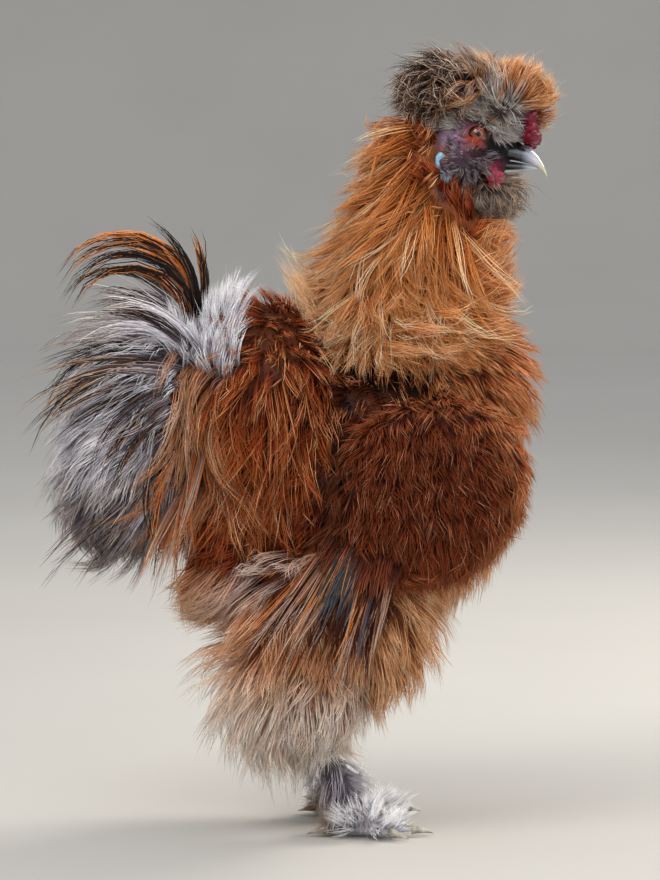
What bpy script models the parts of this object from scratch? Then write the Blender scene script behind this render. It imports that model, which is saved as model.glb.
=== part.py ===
"""A standing silkie cockerel, life size, as a still model in separate named solids.

X points ahead of the bird, Y to its left and Z up, in metres, with the floor at Z 0.
Each node is a smooth core joined to the locks, plumes or toes that grow from it.
"""

import math
import random

import bmesh
import bpy
from mathutils import Matrix, Vector
from mathutils.bvhtree import BVHTree
from mathutils.kdtree import KDTree

MM = 0.001
GAP = 0.3 * MM
LOCK_GAP = 0.6 * MM
SINK = 4.0 * MM
SLIVER = 0.01 * MM
NUDGE = 0.02 * MM
LOCK_STEPS = 3
LOCK_TAPER = (0.8, 1.0, 0.72, 0.0)
LOCK_RIDGE = (1.0, 1.0, 0.7, 0.0)
PLUME_TAPER = (0.6, 1.0, 1.0, 0.85, 0.55, 0.0)
PLUME_RIDGE = (1.0, 1.0, 0.9, 0.7, 0.5, 0.0)
DOWN = Vector((0, 0, -1))
AHEAD = Vector((1, 0, 0))
SIDES = {"right": -1, "left": 1}

# Driving sizes of the bird, from its floor.
EYE_RADIUS = 5.0 * MM
SKULL_CENTRE = Vector((61, 0, 297)) * MM
SKULL_RADII = Vector((20, 15.5, 16)) * MM
EYE_OFFSET = Vector((2.0, 11.4, 3.0)) * MM
BEAK_BASE = Vector((74, 0, 290.5)) * MM
BEAK_LENGTH = 19.5 * MM
BEAK_DEPTH = 9.5 * MM
BEAK_WIDTH = 11.0 * MM
BILL_HALVES = {
    "upper": dict(level=1.6, drop=10.5, bend=2.1, reach=1.0, across=1.0, deep=0.36),
    "lower": dict(level=-3.6, drop=5.5, bend=1.9, reach=0.72, across=0.8, deep=0.17),
}
LEG_SPREAD = 26.0 * MM
FOOT_CENTRE_X = 11.0 * MM
LEFT_FOOT_BACK = 4.0 * MM
TOE_RADIUS = 3.3 * MM
SOLE_LEVEL = 0.79
HOCK_HEIGHT = 47.0 * MM

COLOURS = {
    "orange": (0.52, 0.19, 0.06),
    "rust": (0.40, 0.11, 0.03),
    "breast": (0.38, 0.13, 0.05),
    "mahogany": (0.12, 0.025, 0.012),
    "buff": (0.42, 0.22, 0.11),
    "tail_grey": (0.30, 0.26, 0.27),
    "crest_dark": (0.10, 0.06, 0.045),
    "down_grey": (0.27, 0.24, 0.25),
    "white": (0.80, 0.79, 0.84),
    "face_skin": (0.09, 0.05, 0.07),
    "comb_red": (0.22, 0.012, 0.03),
    "turquoise": (0.30, 0.62, 0.75),
    "horn": (0.28, 0.29, 0.33),
    "eye": (0.02, 0.008, 0.004),
    "claw": (0.42, 0.42, 0.44),
}


def clear_scene():
    for thing in list(bpy.data.objects):
        bpy.data.objects.remove(thing)


def new_collection(name):
    made = bpy.data.collections.new(name)
    bpy.context.scene.collection.children.link(made)
    return made


def material(colour, roughness):
    name = f"{colour}_finish"
    made = bpy.data.materials.get(name) or bpy.data.materials.new(name)
    made.use_nodes = True
    shader = made.node_tree.nodes["Principled BSDF"]
    shader.inputs["Base Color"].default_value = (*COLOURS[colour], 1)
    shader.inputs["Roughness"].default_value = roughness
    shader.inputs["Metallic"].default_value = 0
    return made


def bridged(rings):
    """A closed mesh through rings of points, where a ring of one point is a tip."""
    form = bmesh.new()
    rows = [[form.verts.new(point) for point in ring] for ring in rings]
    for end in (rows[0], rows[-1]):
        if len(end) > 2:
            form.faces.new(end)
    for row, after in zip(rows, rows[1:]):
        count = max(len(row), len(after))
        for i in range(count):
            j = (i + 1) % count
            if len(row) == 1:
                form.faces.new((row[0], after[i], after[j]))
            elif len(after) == 1:
                form.faces.new((row[i], row[j], after[0]))
            else:
                form.faces.new((row[i], row[j], after[j]))
                form.faces.new((row[i], after[j], after[i]))
    bmesh.ops.triangulate(form, faces=[f for f in form.faces if len(f.verts) > 3], ngon_method="EAR_CLIP")
    bmesh.ops.recalc_face_normals(form, faces=form.faces)
    if form.calc_volume(signed=True) < 0:
        bmesh.ops.reverse_faces(form, faces=form.faces)
    return form


def ball(centre, radii, pitch=0.0, roll=0.0, sides=14, rings=9):
    """An ellipsoid. Pitch lifts its front, roll turns it about X, in degrees."""
    centre = Vector(centre)
    turn = Matrix.Rotation(math.radians(roll), 4, "X") @ Matrix.Rotation(math.radians(-pitch), 4, "Y")

    def make(grow):
        form = bmesh.new()
        bmesh.ops.create_uvsphere(form, u_segments=sides, v_segments=rings, radius=1.0)
        size = Matrix.Diagonal((*(r + grow for r in radii), 1.0))
        form.transform(Matrix.Translation(centre) @ turn @ size)
        return form

    def sample(draw):
        height = draw.uniform(-1, 1)
        angle = draw.uniform(0, 2 * math.pi)
        level = math.sqrt(1 - height * height)
        unit = Vector((level * math.cos(angle), level * math.sin(angle), height))
        outward = Vector([u / r for u, r in zip(unit, radii)])
        return centre + turn @ Vector([u * r for u, r in zip(unit, radii)]), (turn @ outward).normalized()

    make.bounds = (centre, max(radii))
    make.sample = sample
    return make


def limb(stations, sides=12):
    """A rounded length through stations of (centre, radius across Y, radius in the side view)."""
    centres = [Vector(station[0]) for station in stations]

    def make(grow):
        rings = []
        last = len(stations) - 1
        for i, (_, across, deep) in enumerate(stations):
            along = (centres[min(i + 1, last)] - centres[max(i - 1, 0)]).normalized()
            centre = centres[i]
            if i == 0:
                centre = centre - along * grow
            if i == last:
                centre = centre + along * grow
            side = Vector((0, 1, 0))
            side = (side - along * side.dot(along)).normalized()
            deep_way = along.cross(side)
            rings.append([
                centre
                + side * (across + grow) * math.cos(2 * math.pi * k / sides)
                + deep_way * (deep + grow) * math.sin(2 * math.pi * k / sides)
                for k in range(sides)
            ])
        return bridged(rings)

    def sample(draw):
        place = draw.uniform(0, len(stations) - 1.001)
        i, t = int(place), place % 1.0
        along = (centres[i + 1] - centres[i]).normalized()
        angle = draw.uniform(0, 2 * math.pi)
        side = Vector((0, 1, 0))
        side = (side - along * side.dot(along)).normalized()
        across, deep = (stations[i][k] * (1 - t) + stations[i + 1][k] * t for k in (1, 2))
        reach = side * math.cos(angle) * across + along.cross(side) * math.sin(angle) * deep
        way = side * math.cos(angle) / across + along.cross(side) * math.sin(angle) / deep
        return centres[i].lerp(centres[i + 1], t) + reach, way.normalized()

    middle = sum(centres, Vector()) / len(centres)
    reach = max((c - middle).length for c in centres) + max(max(s[1:]) for s in stations)
    make.bounds = (middle, reach)
    make.sample = sample
    return make


def lock(points, ups, width, thick, taper=LOCK_TAPER, ridge=LOCK_RIDGE):
    """A flat lock that tapers to a tip: three sides, with its flat side towards the body."""

    def make(grow):
        rings = []
        last = len(points) - 1
        for i, point in enumerate(points):
            along = (points[min(i + 1, last)] - points[max(i - 1, 0)]).normalized()
            side = along.cross(ups[i]).normalized()
            up = side.cross(along)
            if i == last:
                rings.append([point + along * 3 * grow])
                continue
            half = side * (width * taper[i] / 2 + grow)
            start = point - along * (grow if i == 0 else 0)
            ring = [start - half - up * grow, start + half - up * grow]
            top = start + up * (thick * ridge[i] + 1.2 * grow)
            if grow > 0:
                ring += [start + half + up * grow, top, start - half + up * grow]
            else:
                ring.append(top)
            rings.append(ring)
        return bridged(rings)

    middle = (points[0] + points[-1]) / 2
    make.bounds = (middle, max((p - middle).length for p in points) + width)
    return make


def near(piece, other, spare=1.0 * MM):
    (a, reach_a), (b, reach_b) = piece.bounds, other.bounds
    return (a - b).length < reach_a + reach_b + spare


def placed(name, form, collection):
    mesh = bpy.data.meshes.new(name)
    form.to_mesh(mesh)
    form.free()
    made = bpy.data.objects.new(name, mesh)
    collection.objects.link(made)
    return made


def boolean(target, operation, pieces, grow=0.0):
    """Joins pieces to target, or cuts them from it, in one applied Boolean."""
    if not pieces:
        return
    helpers = new_collection("helpers")
    for k, piece in enumerate(pieces):
        placed(f"helper_{k}", piece(grow), helpers)
    modifier = target.modifiers.new(operation.lower(), "BOOLEAN")
    modifier.operation = operation
    modifier.operand_type = "COLLECTION"
    modifier.collection = helpers
    modifier.solver = "MANIFOLD"
    graph = bpy.context.evaluated_depsgraph_get()
    result = bpy.data.meshes.new_from_object(target.evaluated_get(graph), depsgraph=graph)
    target.modifiers.clear()
    target.data = result
    for thing in list(helpers.objects):
        bpy.data.objects.remove(thing)
    bpy.data.collections.remove(helpers)


def triangulated(mesh):
    """The mesh as triangles, without the pairs that lie back to back with nothing between."""
    form = bmesh.new()
    verts = [form.verts.new(v.co) for v in mesh.vertices]
    mesh.calc_loop_triangles()
    made = {}
    for triangle in mesh.loop_triangles:
        key = frozenset(triangle.vertices)
        if key in made:
            form.faces.remove(made.pop(key))
        else:
            made[key] = form.faces.new([verts[i] for i in triangle.vertices])
    return form


def open_touches(form):
    """Draws apart the corners of separate surfaces that meet at one point."""
    form.verts.ensure_lookup_table()
    tree = KDTree(len(form.verts))
    for vert in form.verts:
        tree.insert(vert.co, vert.index)
    tree.balance()
    moves = []
    for vert in form.verts:
        if len(tree.find_range(vert.co, SLIVER)) > 1:
            ring = [edge.other_vert(vert).co for edge in vert.link_edges]
            inward = sum(ring, Vector()) / len(ring) - vert.co
            moves.append((vert, inward.normalized() * NUDGE))
    for vert, move in moves:
        vert.co += move


def keep_largest(target):
    """Leaves only the largest closed surface, so sealed hollows fill and scraps go."""
    form = triangulated(target.data)
    bmesh.ops.dissolve_degenerate(form, dist=SLIVER, edges=form.edges)
    unseen = set(form.faces)
    islands = []
    while unseen:
        front = [unseen.pop()]
        island = list(front)
        while front:
            for edge in front.pop().edges:
                if len(edge.link_faces) != 2:
                    continue
                for face in edge.link_faces:
                    if face in unseen:
                        unseen.remove(face)
                        front.append(face)
                        island.append(face)
        volume = sum(
            f.verts[0].co.dot(f.verts[1].co.cross(f.verts[2].co)) for f in island
        )
        islands.append((volume, island))
    largest = max(islands, key=lambda entry: entry[0])[1]
    loose = set(form.faces) - set(largest)
    bmesh.ops.delete(form, geom=list(loose), context="FACES")
    form.verts.index_update()
    open_touches(form)
    form.to_mesh(target.data)
    form.free()


def joined(name, pieces, collection):
    """One object from closed pieces that overlap."""
    target = placed(name, pieces[0](0.0), collection)
    boolean(target, "UNION", pieces[1:])
    return target


def surface_of(pieces):
    """One search tree over the faces of several pieces."""
    points, faces = [], []
    for piece in pieces:
        form = piece(0.0)
        form.verts.index_update()
        faces.extend([len(points) + v.index for v in face.verts] for face in form.faces)
        points.extend(v.co.copy() for v in form.verts)
        form.free()
    return BVHTree.FromPolygons(points, faces)


def height_over(tree, point):
    """The distance of a point out from a surface, negative inside it, and the way out."""
    where, facing, _, distance = tree.find_nearest(point)
    outside = 1 if (point - where).dot(facing) > 0 else -1
    return outside * distance, (point - where).normalized() * outside


def spread_roots(core, others, count, allowed, draw):
    """Points spread evenly over the free surface of a core, each with its outward normal."""
    close = [piece for piece in others if any(near(piece, own) for own in core)]
    trees = [(surface_of([piece]), 2.5 * MM) for piece in close]
    trees += [(surface_of([piece]), -0.8 * MM) for piece in core]
    sizes = [piece.bounds[1] ** 2 for piece in core]
    candidates = []
    for piece in draw.choices(core, weights=sizes, k=count * 14):
        point, normal = piece.sample(draw)
        if allowed(point) and all(height_over(tree, point)[0] > margin for tree, margin in trees):
            candidates.append((point, normal))
    if not candidates:
        return []
    chosen = [candidates[0]]
    distance = [(p - chosen[0][0]).length for p, _ in candidates]
    while len(chosen) < min(count, len(candidates)):
        best = max(range(len(candidates)), key=distance.__getitem__)
        chosen.append(candidates[best])
        for k, (point, _) in enumerate(candidates):
            distance[k] = min(distance[k], (point - candidates[best][0]).length)
    return chosen


def at(value, point):
    """A size that may depend on the place of the root."""
    return value(point) if callable(value) else value


def coat(core, others, ground, seed, count, allowed, pole, length, width, thick,
         stand, droop=0.2, curl=Vector(), floor=0.0):
    """Locks that lie away from a pole over the ground, rising to stand clear at their tips."""
    draw = random.Random(seed)
    made = []
    for root, normal in spread_roots(core, others, count, allowed, draw):
        full = at(length, root) * draw.uniform(0.86, 1.08)
        tip_height = at(stand, root) * draw.uniform(0.8, 1.15)
        bend = at(curl, root)
        sway = draw.uniform(-0.22, 0.22)
        step = (full + SINK) / LOCK_STEPS
        point = root - normal * SINK
        points, ups = [point], [normal]
        up, height, before = normal, -SINK, Vector()
        for i in range(LOCK_STEPS):
            t = (i + 1) / LOCK_STEPS
            flow = point - at(pole, root)
            flow = (flow - up * flow.dot(up)).normalized()
            flow = flow + up.cross(flow) * sway + DOWN * droop * t + bend * t + before
            flow = (flow - up * flow.dot(up)).normalized()
            before = flow
            rise = (tip_height * t ** 1.2 - height) / step
            rise = max(-0.4, min(1.1, rise))
            point = point + (flow + up * rise).normalized() * step
            point.z = max(point.z, floor)
            height, outward = height_over(ground, point)
            up = (up + outward * 1.5).normalized()
            points.append(point)
            ups.append(up)
        broad = at(width, root) * draw.uniform(0.88, 1.12)
        made.append(lock(points, ups, broad, at(thick, root)))
    return made


def everywhere(_):
    return True


# The head.
def eye_centre(sign):
    return SKULL_CENTRE + Vector((EYE_OFFSET.x, EYE_OFFSET.y * sign, EYE_OFFSET.z))


def eye(sign):
    return [ball(eye_centre(sign), [EYE_RADIUS] * 3, sides=12, rings=8)]


def lids(sign):
    """A ring of skin round the eye, thicker above than below."""
    centre = eye_centre(sign) + Vector((0, sign * 2.2 * MM, 0))
    count = 8
    pieces = []
    for half, thick in ((1, 1.3 * MM), (-1, 1.0 * MM)):
        stations = []
        for k in range(count // 2 + 1):
            angle = math.pi * k / (count // 2) * half
            reach = EYE_RADIUS * 0.94
            stations.append((
                centre + Vector((math.cos(angle) * reach, 0, math.sin(angle) * reach * 0.86)),
                thick, thick,
            ))
        pieces.append(limb(stations, sides=4))
    return pieces


def head():
    jaw = ball(SKULL_CENTRE + Vector((8, 0, -9)) * MM, Vector((13, 10, 7.5)) * MM, sides=10, rings=6)
    cheeks = [
        ball(SKULL_CENTRE + Vector((-5, sign * 8, -7)) * MM, Vector((11, 8, 9)) * MM, sides=9, rings=6)
        for sign in SIDES.values()
    ]
    skull = ball(SKULL_CENTRE, SKULL_RADII, sides=13, rings=8)
    cere = ball(BEAK_BASE + Vector((0.5, 0, 2.0)) * MM, Vector((6.0, 6.3, 6.0)) * MM, sides=9, rings=6)
    return [skull, jaw, *cheeks, cere, *lids(-1), *lids(1)]


def beak(half):
    """Half of the bill. The upper one arches down to a hooked tip."""
    shape = BILL_HALVES[half]
    stations = []
    count = 6
    for k in range(count):
        t = k / (count - 1)
        drop = shape["drop"] * MM * t ** shape["bend"]
        narrowing = (1 - t ** 1.7) * 0.93 + 0.07
        centre = BEAK_BASE + Vector((BEAK_LENGTH * shape["reach"] * t, 0, shape["level"] * MM - drop))
        across = BEAK_WIDTH / 2 * shape["across"] * narrowing
        deep = BEAK_DEPTH * shape["deep"] * narrowing
        stations.append((centre, across, deep))
    return [limb(stations, sides=10)]


def comb():
    """A walnut comb: rounded folds in uneven rows over the brow of the bill."""
    draw = random.Random(11)
    lumps = []
    for row in range(3):
        for column in (-0.5, 0.5) if row else (-1, 0, 1):
            centre = Vector((84.0 - 1.2 * row, 5.4 * column, 299.5 + 4.0 * row)) * MM
            centre += Vector([draw.uniform(-0.7, 0.7) * MM for _ in range(3)])
            size = draw.uniform(3.0, 3.7) * MM
            lumps.append(ball(centre, (size, size * 1.12, size * 0.92), sides=7, rings=5))
    return lumps


def wattle(sign):
    """A short folded wattle under the corner of the mouth."""
    lumps = []
    for k, (x, z, size) in enumerate(((69.5, 283.0, 3.2), (72.3, 281.3, 2.8), (70.2, 279.0, 2.5))):
        centre = Vector((x, sign * (9.8 - 0.5 * k), z)) * MM
        lumps.append(ball(centre, (size * MM, 1.9 * MM, size * 1.15 * MM), sides=7, rings=5))
    return lumps


def earlobe(sign):
    upper = ball(Vector((48.5, sign * 12.6, 288.5)) * MM, Vector((3.6, 2.4, 4.6)) * MM, sides=9, rings=6)
    lower = ball(Vector((49.8, sign * 12.2, 283.0)) * MM, Vector((2.8, 2.2, 4.0)) * MM, sides=9, rings=6)
    return [upper, lower]


# The body.
def torso():
    return [
        ball(Vector((18, 0, 152)) * MM, Vector((62, 46, 56)) * MM, pitch=12, sides=14, rings=9),
        ball(Vector((50, 0, 190)) * MM, Vector((35, 36, 40)) * MM, sides=12, rings=8),
        ball(Vector((-38, 0, 130)) * MM, Vector((25, 32, 32)) * MM, sides=11, rings=7),
    ]


def neck():
    return [limb([
        (Vector((35, 0, 204)) * MM, 34 * MM, 38 * MM),
        (Vector((40, 0, 230)) * MM, 31 * MM, 35 * MM),
        (Vector((45, 0, 256)) * MM, 26 * MM, 30 * MM),
        (Vector((46, 0, 278)) * MM, 21 * MM, 24 * MM),
        (Vector((42, 0, 297)) * MM, 14 * MM, 16 * MM),
        (Vector((39, 0, 308)) * MM, 8 * MM, 9 * MM),
    ], sides=12)]


def saddle():
    return [ball(Vector((-28, 0, 187)) * MM, Vector((33, 43, 42)) * MM, pitch=-8, sides=12, rings=8)]


def tail():
    return [ball(Vector((-84, 0, 170)) * MM, Vector((27, 30, 49)) * MM, pitch=-20, sides=12, rings=8)]


def wing(sign):
    return [
        ball(Vector((42, sign * 46, 152)) * MM, Vector((43, 12, 37)) * MM, pitch=32, sides=12, rings=7),
        ball(Vector((16, sign * 47, 129)) * MM, Vector((24, 8, 17)) * MM, pitch=46, sides=9, rings=6),
    ]


def thigh(sign):
    return [
        ball(Vector((3, sign * LEG_SPREAD / MM, 97)) * MM, Vector((37, 23, 34)) * MM, sides=11, rings=7),
        ball(Vector((-13, sign * LEG_SPREAD / MM, 66)) * MM, Vector((28, 18, 25)) * MM, sides=10, rings=6),
    ]


def foot_centre(sign):
    back = LEFT_FOOT_BACK if sign > 0 else 0.0
    return Vector((FOOT_CENTRE_X - back, sign * LEG_SPREAD, 8.0 * MM))


def shank(sign):
    sole = foot_centre(sign)
    hock = Vector((sole.x - 20 * MM, sign * (LEG_SPREAD - 1 * MM), HOCK_HEIGHT))
    middle = hock.lerp(sole, 0.5)
    return [limb([
        (hock, 8.0 * MM, 8.0 * MM),
        (middle, 6.2 * MM, 6.4 * MM),
        (sole + Vector((0, 0, 3)) * MM, 6.6 * MM, 6.8 * MM),
    ], sides=8)]


TOES = {
    "middle": (4, 27, 0.0),
    "inner": (-30, 22, 0.0),
    "outer": (38, 22, 0.0),
    "hind": (170, 15, 0.0),
    "fifth": (-148, 14, 34.0),
}


def toe_stations(sign, name):
    """A toe's length, flattened a little under its joints. Angles run outwards from straight ahead."""
    turn, length, lift = TOES[name]
    sole = foot_centre(sign)
    way = Vector((math.cos(math.radians(turn)), sign * math.sin(math.radians(turn)), 0))
    stations = []
    for share, thick in ((0.0, 1.15), (0.55, 1.05), (1.0, 0.72)):
        radius = TOE_RADIUS * thick
        centre = Vector((sole.x, sole.y, radius * SOLE_LEVEL)) + way * length * share * MM
        centre.z += math.sin(math.radians(lift)) * length * share * MM
        stations.append((centre, radius, radius))
    return stations, way


def foot(sign):
    sole = foot_centre(sign)
    pad = ball((sole.x, sole.y, 5.4 * MM), Vector((8.5, 7.5, 6.0)) * MM, sides=10, rings=5)
    return [pad] + [limb(toe_stations(sign, name)[0], sides=6) for name in TOES]


def claw(sign, name):
    stations, way = toe_stations(sign, name)
    start = stations[-1][0] - way * 2.0 * MM + Vector((0, 0, 0.5 * MM))
    stations = []
    for k in range(3):
        t = k / 2
        size = 1.75 * MM * (1 - t) + 0.3 * MM
        centre = start + way * 9.0 * MM * t - Vector((0, 0, 1.6 * MM * t ** 2))
        centre.z = max(centre.z, size + 0.05 * MM)
        stations.append((centre, size, size))
    return [limb(stations, sides=6)]


def crest_front():
    return [ball(Vector((79, 0, 315)) * MM, Vector((14, 19, 13)) * MM, sides=11, rings=7)]


def crest_back():
    return [ball(Vector((53, 0, 321)) * MM, Vector((20, 20, 12)) * MM, pitch=6, sides=11, rings=7)]


def beard():
    return [ball(Vector((71, 0, 275)) * MM, Vector((11, 13, 8)) * MM, sides=9, rings=6)]


def muff(sign):
    return [ball(Vector((58, sign * 12, 284)) * MM, Vector((9, 5, 8)) * MM, sides=8, rings=5)]


# Where the locks of each node grow, and how they lie.
def backness(point):
    """0 at the front of the neck and 1 at its back."""
    axis_x = 35 * MM + (point.z - 204 * MM) * 0.19
    return max(0.0, min(1.0, 0.5 - (point.x - axis_x) / (64 * MM)))


def neck_length(point):
    return (30 + 22 * min(1.0, backness(point) * 1.4)) * MM


def neck_stand(point):
    return (8 + 20 * backness(point) ** 2) * MM


def neck_curl(point):
    """Low hackles curl ahead at their tips; those on the nape flick up."""
    nape = backness(point)
    low = 1 - min(1.0, max(0.0, (point.z - 215 * MM) / (40 * MM)))
    return AHEAD * 0.9 * low * (1 - nape) - DOWN * 0.45 * nape


def torso_length(point):
    return (25 + 8 * max(0.0, (140 * MM - point.z) / (40 * MM))) * MM


def crest_pole(point):
    """The pom opens from a parting on each side of the head."""
    return Vector((68 * MM, math.copysign(26 * MM, point.y), 311 * MM))


def shank_pole(point):
    return Vector((point.x + 9 * MM, math.copysign(LEG_SPREAD - 8 * MM, point.y), 80 * MM))


def toe_pole(point):
    return Vector((FOOT_CENTRE_X - 4 * MM, math.copysign(LEG_SPREAD, point.y), -2 * MM))


COATS = {
    "neck": dict(seed=1, count=29, allowed=everywhere, pole=Vector((64, 0, 312)) * MM,
                 length=neck_length, width=15 * MM, thick=2.6 * MM, stand=neck_stand,
                 droop=0.35, curl=neck_curl),
    "torso": dict(seed=2, count=18, allowed=everywhere, pole=Vector((52, 0, 235)) * MM,
                  length=torso_length, width=25 * MM, thick=3.8 * MM, stand=11 * MM, droop=0.25),
    "saddle": dict(seed=3, count=17, allowed=everywhere, pole=Vector((-14, 0, 236)) * MM,
                   length=48 * MM, width=18 * MM, thick=3.0 * MM, stand=15 * MM, droop=0.8),
    "tail": dict(seed=4, count=12, allowed=everywhere, pole=Vector((-44, 0, 215)) * MM,
                 length=38 * MM, width=18 * MM, thick=3.0 * MM, stand=18 * MM, droop=0.6),
    "wing": dict(seed=5, count=6, allowed=everywhere, pole=Vector((78, 0, 200)) * MM,
                 length=26 * MM, width=21 * MM, thick=3.0 * MM, stand=5 * MM, droop=0.2),
    "thigh": dict(seed=16, count=7, allowed=everywhere, pole=Vector((0, 0, 150)) * MM,
                  length=31 * MM, width=23 * MM, thick=3.4 * MM, stand=15 * MM, droop=0.5),
    "shank": dict(seed=17, count=4, allowed=everywhere, pole=shank_pole,
                  length=19 * MM, width=9 * MM, thick=2.0 * MM, stand=8 * MM, droop=0.2,
                  floor=1.6 * MM),
    "foot": dict(seed=8, count=4, allowed=lambda p: p.z > 3.2 * MM, pole=toe_pole,
                 length=12 * MM, width=7.5 * MM, thick=1.8 * MM, stand=8 * MM, droop=0.1,
                 floor=1.2 * MM),
    "crest_front": dict(seed=19, count=10, allowed=everywhere, pole=crest_pole,
                        length=15 * MM, width=9.5 * MM, thick=1.8 * MM, stand=8 * MM, droop=0.0),
    "crest_back": dict(seed=10, count=10, allowed=everywhere, pole=Vector((66, 0, 328)) * MM,
                       length=20 * MM, width=8.5 * MM, thick=1.8 * MM, stand=8 * MM, droop=0.4),
    "beard": dict(seed=12, count=5, allowed=everywhere, pole=Vector((80, 0, 288)) * MM,
                  length=12 * MM, width=8.0 * MM, thick=1.8 * MM, stand=5 * MM, droop=0.3),
    "muff": dict(seed=13, count=4, allowed=everywhere, pole=Vector((70, 0, 290)) * MM,
                 length=12 * MM, width=6.5 * MM, thick=1.6 * MM, stand=4 * MM, droop=0.3),
}


def plume(root, first, last, length, width, thick, side):
    """A feather that starts along first and turns evenly until it ends along last."""
    steps = len(PLUME_TAPER) - 1
    points = [Vector(root)]
    for i in range(steps):
        t = (i + 0.5) / steps
        way = (first.normalized() * (1 - t) + last.normalized() * t).normalized()
        points.append(points[-1] + way * length / steps)
    ups = [Vector(side)] * (steps + 1)
    return lock(points, ups, width, thick, PLUME_TAPER, PLUME_RIDGE)


def flights(sign):
    """The drooping flight feathers, in two tiers that fan below the wing."""
    feathers = []
    for tier, (count, length, out) in enumerate(((6, 74, 53.0), (3, 50, 57.0))):
        for k in range(count):
            t = k / (count - 1)
            root = Vector((8 + 34 * t, sign * out, 130 - 9 * t + 7 * tier)) * MM
            first = Vector((-0.62 + 0.36 * t, sign * 0.16, -0.8 - 0.15 * t))
            last = Vector((-0.85 + 0.78 * t, -sign * 0.05, -0.6 - 0.4 * t))
            size = length * (1.0 - 0.16 * t) * MM
            feathers.append(plume(root, first, last, size, 9.5 * MM, 1.4 * MM, (0.4, sign, 0)))
    return feathers


def sickles():
    """The long curved feathers that arch over the tail, in a fan of tiers."""
    draw = random.Random(21)
    feathers = []
    for tier, (count, rise, length) in enumerate(((4, 98, 66), (4, 62, 66), (4, 24, 60))):
        for k in range(count):
            side = -1 + 2 * (k + 0.5) / count
            start = Vector((-63 - 11 * tier, side * 15, 212 - 15 * tier)) * MM
            up = math.radians(rise + draw.uniform(-7, 7))
            fall = math.radians(rise - 112 + draw.uniform(-12, 12))
            spread = side * 0.5
            first = Vector((-math.cos(up), spread, math.sin(up)))
            last = Vector((-math.cos(fall), spread * 1.3, math.sin(fall)))
            out = Vector((0, math.copysign(1.0, side), 0.25))
            size = length * draw.uniform(0.9, 1.08) * MM
            feathers.append(plume(start, first, last, size, 8.0 * MM, 1.8 * MM, out))
    return feathers


def nodes():
    """Every node in the order in which the cores keep their shape: (name, core, coat, plumes, colour)."""
    listed = []
    for side, sign in SIDES.items():
        listed.append((f"eye_{side}", eye(sign), None, [], "eye"))
    for half in BILL_HALVES:
        listed.append((f"beak_{half}", beak(half), None, [], "horn"))
    listed.append(("torso", torso(), "torso", [], "breast"))
    listed.append(("head", head(), None, [], "face_skin"))
    listed.append(("comb", comb(), None, [], "comb_red"))
    for side, sign in SIDES.items():
        listed.append((f"wattle_{side}", wattle(sign), None, [], "comb_red"))
        listed.append((f"earlobe_{side}", earlobe(sign), None, [], "turquoise"))
    listed.append(("neck", neck(), "neck", [], "orange"))
    listed.append(("saddle", saddle(), "saddle", [], "rust"))
    listed.append(("tail", tail(), "tail", sickles(), "tail_grey"))
    for side, sign in SIDES.items():
        listed.append((f"wing_{side}", wing(sign), "wing", flights(sign), "mahogany"))
    for side, sign in SIDES.items():
        listed.append((f"thigh_{side}", thigh(sign), "thigh", [], "buff"))
    for side, sign in SIDES.items():
        listed.append((f"shank_{side}", shank(sign), "shank", [], "down_grey"))
    for side, sign in SIDES.items():
        listed.append((f"foot_{side}", foot(sign), "foot", [], "white"))
        for name in TOES:
            listed.append((f"claw_{name}_{side}", claw(sign, name), None, [], "claw"))
    listed.append(("crest_front", crest_front(), "crest_front", [], "orange"))
    listed.append(("crest_back", crest_back(), "crest_back", [], "crest_dark"))
    listed.append(("beard", beard(), "beard", [], "down_grey"))
    for side, sign in SIDES.items():
        listed.append((f"muff_{side}", muff(sign), "muff", [], "down_grey"))
    return listed


COAT_ORDER = ["crest_front", "crest_back", "muff", "beard", "neck", "wing", "saddle", "tail",
              "torso", "foot", "shank", "thigh"]


def floor_slab(_):
    """The floor under the whole bird, which levels the soles."""
    form = bmesh.new()
    bmesh.ops.create_cube(form, size=1.0)
    form.transform(Matrix.Translation((0, 0, -0.05)) @ Matrix.Diagonal((1, 1, 0.1, 1)))
    return form


def trimmed_cores(listed, collection):
    """The cores, each cut clear of those listed before it, and the floor."""
    made = {}
    for index, (name, core, _, _, _) in enumerate(listed):
        target = joined(name, core, collection)
        before = [piece for entry in listed[:index] for piece in entry[1]]
        boolean(target, "DIFFERENCE", [p for p in before if any(near(p, own) for own in core)], GAP)
        if name.startswith("foot"):
            boolean(target, "DIFFERENCE", [floor_slab])
        keep_largest(target)
        made[name] = target
    return made


def grow_coats(listed):
    """Each node's locks and plumes, by name."""
    ground = surface_of([piece for entry in listed for piece in entry[1]])
    grown = {}
    for name, core, coat_name, plumes, _ in listed:
        pieces = list(plumes)
        if coat_name:
            others = [piece for entry in listed if entry[0] != name for piece in entry[1]]
            settings = dict(COATS[coat_name])
            if name.endswith("_left"):
                settings["seed"] += 50
            pieces += coat(core, others, ground, **settings)
        grown[name] = pieces
    return grown


def coat_rank(coat_name):
    return COAT_ORDER.index(coat_name) if coat_name else -1


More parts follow.
